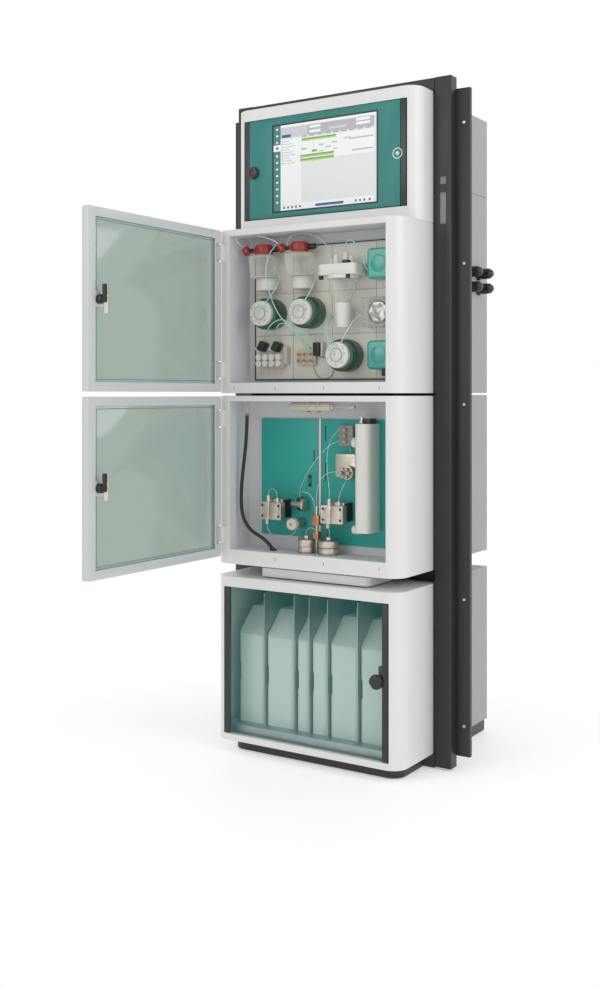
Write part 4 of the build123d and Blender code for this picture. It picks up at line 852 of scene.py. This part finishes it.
# %% Draw the screen picture
screen_box = (-163.5, 175.5, 1571.5, 1819.5)
screen_face = 104.3
layer_step = 0.004
screen_colours = {
    "page": ((0.74, 0.75, 0.75), 0.06), "grey": ((0.44, 0.43, 0.47), 0.05),
    "pale": ((0.58, 0.57, 0.60), 0.05), "sidebar": ((0.015, 0.20, 0.18), 0.05),
    "white": ((0.84, 0.85, 0.85), 0.08), "green": ((0.13, 0.36, 0.03), 0.05),
    "lime": ((0.42, 0.66, 0.14), 0.05), "blue": ((0.015, 0.07, 0.27), 0.05),
    "dark": ((0.05, 0.05, 0.06), 0.05), "line": ((0.26, 0.27, 0.28), 0.05),
}
rectangles = [
    (0.0, 1.0, 0.0, 1.0, "page"), (0.0, 0.072, 0.0, 1.0, "sidebar"), (0.072, 1.0, 0.0, 0.03, "white"),
    (0.072, 0.98, 0.03, 0.155, "pale"), (0.34, 0.98, 0.035, 0.15, "grey"),
    (0.36, 0.47, 0.045, 0.075, "white"), (0.36, 0.47, 0.10, 0.13, "white"),
    (0.55, 0.72, 0.09, 0.12, "pale"), (0.81, 0.94, 0.04, 0.07, "white"),
    (0.81, 0.94, 0.085, 0.115, "white"), (0.085, 0.175, 0.115, 0.15, "blue"),
    (0.072, 0.28, 0.17, 0.94, "white"), (0.28, 0.98, 0.18, 0.44, "white"),
    (0.28, 0.98, 0.44, 0.92, "page"), (0.285, 0.62, 0.185, 0.205, "green"),
    (0.285, 0.62, 0.207, 0.22, "lime"), (0.27, 0.60, 0.375, 0.395, "green"),
    (0.27, 0.60, 0.397, 0.41, "lime"), (0.27, 0.60, 0.42, 0.44, "green"),
    (0.27, 0.60, 0.442, 0.455, "lime"), (0.385, 0.435, 0.33, 0.355, "green"),
    (0.40, 0.402, 0.19, 0.50, "line"), (0.74, 0.97, 0.25, 0.265, "grey"),
    (0.69, 0.76, 0.235, 0.25, "pale"), (0.77, 0.97, 0.385, 0.40, "grey"),
    (0.45, 0.50, 0.275, 0.29, "grey"), (0.58, 0.63, 0.265, 0.28, "grey"),
    (0.52, 0.57, 0.31, 0.325, "grey"), (0.45, 0.50, 0.35, 0.36, "grey"),
    (0.59, 0.64, 0.345, 0.355, "grey"), (0.28, 0.33, 0.30, 0.315, "line"),
    (0.072, 0.98, 0.925, 1.0, "white"), (0.42, 0.69, 0.955, 0.985, "blue"),
    (0.0, 0.072, 0.225, 0.30, "white"), (0.025, 0.05, 0.25, 0.275, "dark"),
]
for step in range(9):
    rectangles.append((0.285 + step * 0.077, 0.335 + step * 0.077, 0.155, 0.165, "line"))
for step in range(9):
    top = 0.19 + step * 0.032
    rectangles.append((0.085, 0.095, top, top + 0.012, "dark"))
    rectangles.append((0.105, 0.16 + 0.03 * (step % 3), top + 0.002, top + 0.009, "grey"))
for step in range(12):
    top = 0.03 + step * 0.078
    if not 0.2 < top < 0.3:
        rectangles.append((0.027, 0.047, top, top + 0.022, "white"))
for u in (0.10, 0.14, 0.18, 0.22, 0.26, 0.80, 0.84, 0.88, 0.93):
    rectangles.append((u, u + 0.016, 0.955, 0.98, "dark"))

names = list(screen_colours)
left, right, low, high = screen_box
points, faces, kinds = [], [], []
for layer, (u0, u1, v0, v1, kind) in enumerate(rectangles):
    depth = screen_face - layer_step * layer
    corner = len(points)
    for u, v in ((u0, v1), (u1, v1), (u1, v0), (u0, v0)):
        points.append(spot(left + u * (right - left), depth, high - v * (high - low)))
    faces.append(tuple(range(corner, corner + 4)))
    kinds.append(names.index(kind))
picture = bpy.data.meshes.new("screen_picture_mesh")
picture.from_pydata(points, [], faces)
for kind in names:
    base, strength = screen_colours[kind]
    picture.materials.append(lit_colour("screen_" + kind, base, strength))
for face, kind in zip(picture.polygons, kinds):
    face.material_index = kind
keep(bpy.data.objects.new("screen_picture", picture), "display_door")
print("screen rectangles", len(rectangles))

# %% [markdown]
# ## Display door trim
# A thin dark seal runs round the screen, and a plain ring stands near the door's right edge. The
# round lock has a raised rim and a bar across its face. They could be cut into the door's mesh,
# but closed shapes of their own leave that mesh clean and take their own finish. The finishes
# that only small parts need are made here too.

# %% Display door
black = finish["black_plastic"]
dark_paint = finish["frame_paint"]
steel = finish["machined_steel"]
white_part = finish["white_plastic"]
brass = metal("brass", (0.55, 0.37, 0.14), (0.40, 0.26, 0.09), 0.3, (200.0, 200.0, 200.0))
copper = metal("copper", (0.55, 0.26, 0.16), (0.40, 0.18, 0.11), 0.32, (200.0, 200.0, 200.0))
rose_steel = metal("rose_steel", (0.56, 0.45, 0.43), (0.38, 0.30, 0.29), 0.25, (250.0, 250.0, 250.0))
# Dark paint for the board's seams, which are dark joints, and for the heads' grooves, where it is
# painted shade.
seam_and_groove_shade = coated("seam_and_groove_shade", (0.16, 0.15, 0.13), (0.12, 0.11, 0.10), 0.5)
door_line = coated("door_line", (0.10, 0.33, 0.30), (0.09, 0.29, 0.26), 0.4)
brown_plastic = coated("brown_plastic", (0.06, 0.03, 0.025), (0.09, 0.045, 0.04), 0.35)


def border(x0, x1, z0, z1, width, d0, d1):
    """Four strips round a rectangle that faces the front."""
    return [block(x0, x1, d0, d1, z0, z0 + width), block(x0, x1, d0, d1, z1 - width, z1),
            block(x0, x0 + width, d0, d1, z0 + width, z1 - width),
            block(x1 - width, x1, d0, d1, z0 + width, z1 - width)]


piece("screen_seal", "display_door", black,
      border(-168, 180, 1567, 1824, 3.4, 103.2, 104.4), 0.0002)
piece("door_ring", "display_door", white_part, [
    turned(240, 103.4, 1697, "y", ring_profile(12.5, 15, 0, 0.8)),
    turned(240, 103.6, 1697, "y", disc_profile(5.5, -0.4, 0.6)),
], 0.0001)
piece("display_lock_face", "display_lock", brown_plastic, [
    turned(-233, 94.2, 1691, "y", ring_profile(11, 14.2, 0, 1.2)),
    block(-240, -226, 94.4, 95.4, 1690, 1692),
], 0.0002)

# %% [markdown]
# ## Trim of the wet doors
# Each open door holds its pane in a rebate, with a thin teal line printed round the glass, and
# its latch has a light backing plate under the dark knob. The line could be painted by a
# texture, but four flat strips stay sharp in a close look. The doors are drawn where they stand
# open, so what is across the door when shut runs along Y here.

# %% Wet door trim
door_face = -275
for body, latch_body, low, high in (("upper_door", "upper_latch", 1069, 1487),
                                    ("middle_door", "middle_latch", 594, 1008)):
    near, far, inset, width = -36, -550, 6, 2.2
    x0, x1 = door_face, door_face + 0.35
    piece(body + "_line", body, door_line, [
        block(x0, x1, far + inset, near - inset, low + inset, low + inset + width),
        block(x0, x1, far + inset, near - inset, high - inset - width, high - inset),
        block(x0, x1, far + inset, far + inset + width, low + inset + width, high - inset - width),
        block(x0, x1, near - inset - width, near - inset, low + inset + width, high - inset - width),
    ], 0)
    middle = (low + high) / 2 + 0.5
    piece(latch_body + "_plate", body, white_part,
          [block(door_face - 0.1, door_face + 0.9, -514, -500, middle - 34, middle + 14)], 0.0002)

# %% [markdown]
# ## Lips, flanges and column slots
# The lower lips of the wet cabinets have narrow drain slots: four in the upper one and three
# in the lower one. Screws stand on the flanges beside the columns and on the backs of the rear
# boxes, and a grey strip closes the right column's slots. The slots could be cut with a Boolean,
# but at this size a dark inlay on the white lip, painted shade for the inside of each slot,
# looks the same and leaves the sheet whole.

# %% Slots and screws of the cabinets
slot_shade_paint = coated("slot_shade_paint", (0.20, 0.20, 0.20), (0.15, 0.15, 0.15), 0.5)
# Dark inlays in the drain slots: painted shade for the inside of the slots.
piece("lip_slot_shade", "root", slot_shade_paint, [
    *[block(x, x + 1.8, -0.15, 1.0, 1050, 1059) for x in (-232, -92, 66, 238)],
    *[block(x, x + 1.8, -0.15, 1.0, 568, 577) for x in (-92, 66, 238)],
], 0)
piece("column_slot_strip", "root", finish["grey_plastic"],
      [block(316, 344, 203.4, 205, 1504, 1644)], 0.0002)
flange_screws = [(side * 376, 240, z) for side in (-1, 1) for z in (120, 470, 1010, 1400, 1790)]
repeat("flange_screws", stud_tree, "root", "machined_steel", steel, flange_screws,
       Radius=0.0045, Height=0.0028, Chamfer=0.001, Sides=18, Turn=towards_front)
rear_screws = [(side * 262, 629.8, z) for side in (-1, 1)
               for z in (62, 270, 480, 570, 800, 1012, 1062, 1340, 1618, 1660, 1760, 1852)]
repeat("rear_screws", stud_tree, "root", "machined_steel", steel, rear_screws,
       Radius=0.004, Height=0.0022, Chamfer=0.0009, Sides=16, Turn=(math.radians(-90), 0.0, 0.0))

# %% [markdown]
# ## Upper wet cabinet
# The beige board sits in a dark seal and is divided by fine seams, which are dark joints. The
# green drives have cooling ribs, and the white heads a turned groove and small dark screws.
# Ribs and screws are many of one kind, so the trees make them. Seal, seams and grooves are
# few, and are drawn as thin shapes that stand just out of what carries them; the dark ring
# for each groove is painted shade.

# %% Upper board and dosing units
piece("board_seal", "root", black, [
    block(-223, 241, 98.5, 101.2, 1462, 1465), block(-223, 241, 98.5, 101.2, 1079, 1082),
    block(236, 241, 97.5, 101.2, 1082, 1462), block(-225.5, -223, 98.5, 101.2, 1079, 1465),
], 0.0002)
piece("board_seams", "root", seam_and_groove_shade, [
    *[block(x, x + 0.9, 100.7, 101.3, 1083, 1461) for x in (-93.5, 36, 176.5)],
    *[block(-222, 235, 100.7, 101.3, z, z + 0.9) for z in (1208, 1330)],
], 0)
dosing_centres = [(-159, 1270), (-28, 1270), (93, 1146)]
repeat("drive_ribs", rib_tree, "root", "green_plastic", finish["green_plastic"],
       [(x, 72, z) for x, z in dosing_centres],
       Count=44, Ring_Radius=0.0443, Rib_Size=(0.0014, 0.0012, 0.050), Turn=towards_front)
# Dark rings on the heads: painted shade of the turned grooves.
piece("head_groove_shade", "root", seam_and_groove_shade, [
    turned(x, 21.9, z, "y", ring_profile(18.4, 19.2, 0, 1)) for x, z in dosing_centres
], 0)
dark_dots = [(x + 27 * math.cos(math.radians(a)), 22.2, z + 27 * math.sin(math.radians(a)))
             for x, z in dosing_centres for a in (-90, -52, 10, 150, 200)]
repeat("head_screws", stud_tree, "root", "black_plastic", brown_plastic, dark_dots,
       Radius=0.0015, Height=0.0008, Chamfer=0.0003, Sides=12, Turn=towards_front)

# %% [markdown]
# ## Vessels and titration cell
# Two glass vessels hang under ribbed red caps, with black sleeves at the caps' side ports. The
# cell's white lid carries a dark clip and has two small dark blocks under its rim, and the two
# pump boxes at the right bulge in flat teal domes. Sphere and cylinder pieces could be joined
# for these, but a lathe profile gives each round part in one closed shape.

# %% Caps, vessels and cell
vessel_axes = (-164, -42)
repeat("cap_ribs", rib_tree, "root", "red_plastic", finish["red_plastic"],
       [(x, 53, 1454) for x in vessel_axes],
       Count=40, Ring_Radius=0.0254, Rib_Size=(0.0016, 0.0014, 0.016), Turn=upright)
piece("port_sleeves", "root", black, [
    turned(x - 44, 47, 1454, "x", disc_profile(6.2, 0, 13, 0.8)) for x in vessel_axes
] + [
    turned(x + 22, 62, 1455, "x", disc_profile(8.5, 0, 24, 1.5)) for x in vessel_axes
], 0.0004)
piece("vessel_bottoms", "root", white_part, [
    turned(x, 53, 1374.5, "z", disc_profile(34, 0, 2, 0.8)) for x in vessel_axes
], 0.0003)
piece("cell_clips", "root", black, [
    block(118, 134, 14, 34, 1396, 1405),
    block(42, 50, 16, 30, 1355, 1366), block(128, 136, 16, 30, 1355, 1366),
], 0.0006)
piece("cell_collars", "root", white_part, [
    turned(99, 52, 1356, "z", ring_profile(41.5, 45.5, 0, 10)),
], 0.0005)
dome_profile = [(0, -2.6), (9, -2.3), (17, -1.5), (24, -0.3), (26, 1), (0, 1)]
piece("pump_domes", "root", finish["teal_plastic"],
      [turned(209, 52, z, "y", dome_profile) for z in (1394, 1145)], 0.0008)

# %% [markdown]
# ## Valve blocks
# One block has two rows of white push buttons, the other one copper nipples. Each kind repeats
# at an even pitch, so the stud tree makes them, with many sides for the round buttons and six
# for the hexagonal nipples. The white fittings beside them and the black catch in the board's
# corner are single parts, and are drawn as such.

# %% Valve blocks
button_rows = [(-198 + 22.6 * column, 77, z) for column in range(4) for z in (1127, 1145.5)]
repeat("valve_buttons", stud_tree, "root", "white_plastic", white_part, button_rows,
       Radius=0.0096, Height=0.0035, Chamfer=0.0012, Sides=24, Turn=towards_front)
port_rows = [(-63 + 20 * column, 81, 1134 + 18 * row) for column in range(3) for row in range(2)]
repeat("copper_ports", stud_tree, "root", "beige_plastic", copper, port_rows,
       Radius=0.0042, Height=0.006, Chamfer=0.001, Sides=6, Turn=towards_front)
piece("valve_fittings", "root", white_part, [
    turned(-213, 84, 1172, "x", disc_profile(4.5, 0, 10, 0.8)),
    turned(-166, 84, 1170, "x", disc_profile(4.5, 0, 10, 0.8)),
    block(9, 15, 82, 101, 1146, 1186),
], 0.0005)
piece("corner_catch", "root", black, [
    block(214, 240, 60, 100, 1088, 1106), block(224, 236, 48, 62, 1092, 1101),
], 0.0015)

# %% [markdown]
# ## Lower wet cabinet
# A white strip stands between the two teal panels, which have slots and a small catch. Slots
# could be cut into the panels, but they are so narrow that dark strips, set just out of the
# sheet, look the same from every side and need no Boolean. The strips' darkness is painted
# shade for the inside of the slots.

# %% Lower panels
piece("panel_strip", "root", finish["white_metal"],
      [block(-6.5, 0.5, 97.5, 104.5, 611, 969)], 0.0008)
# Dark strips in the panel slots: painted shade.
piece("panel_slot_shade", "root", dark_paint, [
    block(-9.5, -7, 100.6, 101.2, 631, 967),
    block(13, 16, 100.6, 101.2, 905, 948), block(13, 16, 100.6, 101.2, 790, 846),
    block(-25, -22, 100.6, 101.2, 845, 878),
], 0)
piece("panel_catch", "root", black,
      [turned(-37, 100.5, z, "y", disc_profile(5, -2.2, 0.6)) for z in (803, 779)], 0.0003)
piece("panel_catch_plate", "root", finish["teal_panel"],
      [block(-42, -32, 96.5, 101, 784, 798)], 0.001)

# %% [markdown]
# ## Straps, sleeve and gland
# The guard cartridge lies under the ceiling in two black straps and ends in a brass tip. The
# waste hose leaves a clear sleeve at the top and enters a black gland in the floor. They could
# be bent from curves, but a profile turned about the axis of what it holds fits it exactly.

# %% Guard cartridge straps, hose sleeve and glands
piece("cartridge_straps", "root", black, [
    turned(x, 60, 1003, "x", ring_profile(12.9, 15, 0, 5)) for x in (-18.5, 15.5)
], 0.0004)
piece("cartridge_tip", "root", brass, [
    turned(118, 60, 1003, "x", [(0, 0), (4.6, 0), (4.6, 8), (3.4, 8), (3.4, 14), (0, 14)]),
], 0.0003)
piece("hose_sleeve", "root", finish["clear_plastic"], [
    turned(-210, 35, 976, "z", ring_profile(3.0, 6.4, 0, 42)),
], 0.0003)
piece("hose_gland", "root", black, [
    turned(-126, 44, 591, "z", ring_profile(5.2, 10, 0, 5)),
], 0.0006)

# %% [markdown]
# ## Pumps, injection valve, detector and column
# The pump heads show four recesses and a slot each, and have dark covers behind them. The
# recesses are dark studs and the slots dark strips, both painted shade. The two mixing tees
# are copper, and bands run round the dampers. The injection valve has six hexagonal ports,
# the detector a grey cover with three brass fittings, and the column's holder a black clamp
# with a steel fitting. What repeats comes from the stud tree, and the rest is drawn from
# blocks and turned profiles.

# %% Pumps, valve and column
pump_edges = (-166, 36)
# Dark studs where the pump heads' recesses are: painted shade.
recess_shade_spots = [(x0 + dx, 37.6, 680 + dz) for x0 in pump_edges for dx in (8, 63) for dz in (10, 40)]
repeat("pump_recess_shade", stud_tree, "root", "black_plastic", brown_plastic, recess_shade_spots,
       Radius=0.0032, Height=0.0012, Chamfer=0.0003, Sides=16, Turn=towards_front)
# Dark strip in each pump head's slot: painted shadow.
piece("pump_slot_shadow", "root", brown_plastic, [
    block(x0 + 33.2, x0 + 34.8, 36.2, 37.9, 681, 729) for x0 in pump_edges
], 0)
piece("pump_rear_covers", "root", dark_paint, [
    block(x0 + 61.5, x0 + 66, 62, 100.5, 684, 735) for x0 in pump_edges
], 0.0006)
piece("sensor_disc", "root", black, [
    turned(-62, 97, 723, "y", disc_profile(21, 0, 3.8, 0.8)),
], 0.0006)
piece("purge_centre", "purge_knob", brass, [
    turned(-62, 37.9, 670, "y", disc_profile(4, -1.4, 0.4)),
], 0.0003)
piece("tee_blocks", "root", copper, [
    block(4.4, 27.6, 41.4, 58.6, 672.4, 699.6), block(7.4, 24.6, 42.4, 57.6, 634.4, 653.6),
], 0.0006)
piece("damper_bands", "root", dark_paint, [
    turned(-18, 50, z, "z", ring_profile(23.4, 24.3, 0, 1.2)) for z in (594, 634)
] + [
    turned(54, 50, z, "z", ring_profile(26.9, 27.8, 0, 1.2)) for z in (594, 612, 634)
], 0)
port_ring = [(104 + 12 * math.cos(math.radians(60 * k)), 55, 820 + 12 * math.sin(math.radians(60 * k)))
             for k in range(6)]
repeat("injection_ports", stud_tree, "root", "machined_steel", rose_steel, port_ring,
       Radius=0.0056, Height=0.008, Chamfer=0.001, Sides=6, Turn=towards_front)
piece("detector_cover", "root", finish["grey_plastic"],
      [block(75.6, 118.4, 71.4, 100.8, 894.6, 951.4)], 0.0008)
repeat("detector_ports", stud_tree, "root", "machined_steel", brass,
       [(97, 72, z) for z in (907, 923, 939)],
       Radius=0.0052, Height=0.012, Chamfer=0.001, Sides=6, Turn=towards_front)
piece("column_top", "root", black, [
    block(166, 187, 44, 84, 957, 972),
], 0.001)
piece("column_fitting", "root", steel, [
    turned(154, 62, 957, "z", [(0, 0), (9, 0), (9, 9), (6, 9), (6, 20), (0, 20)], 6),
], 0.0005)
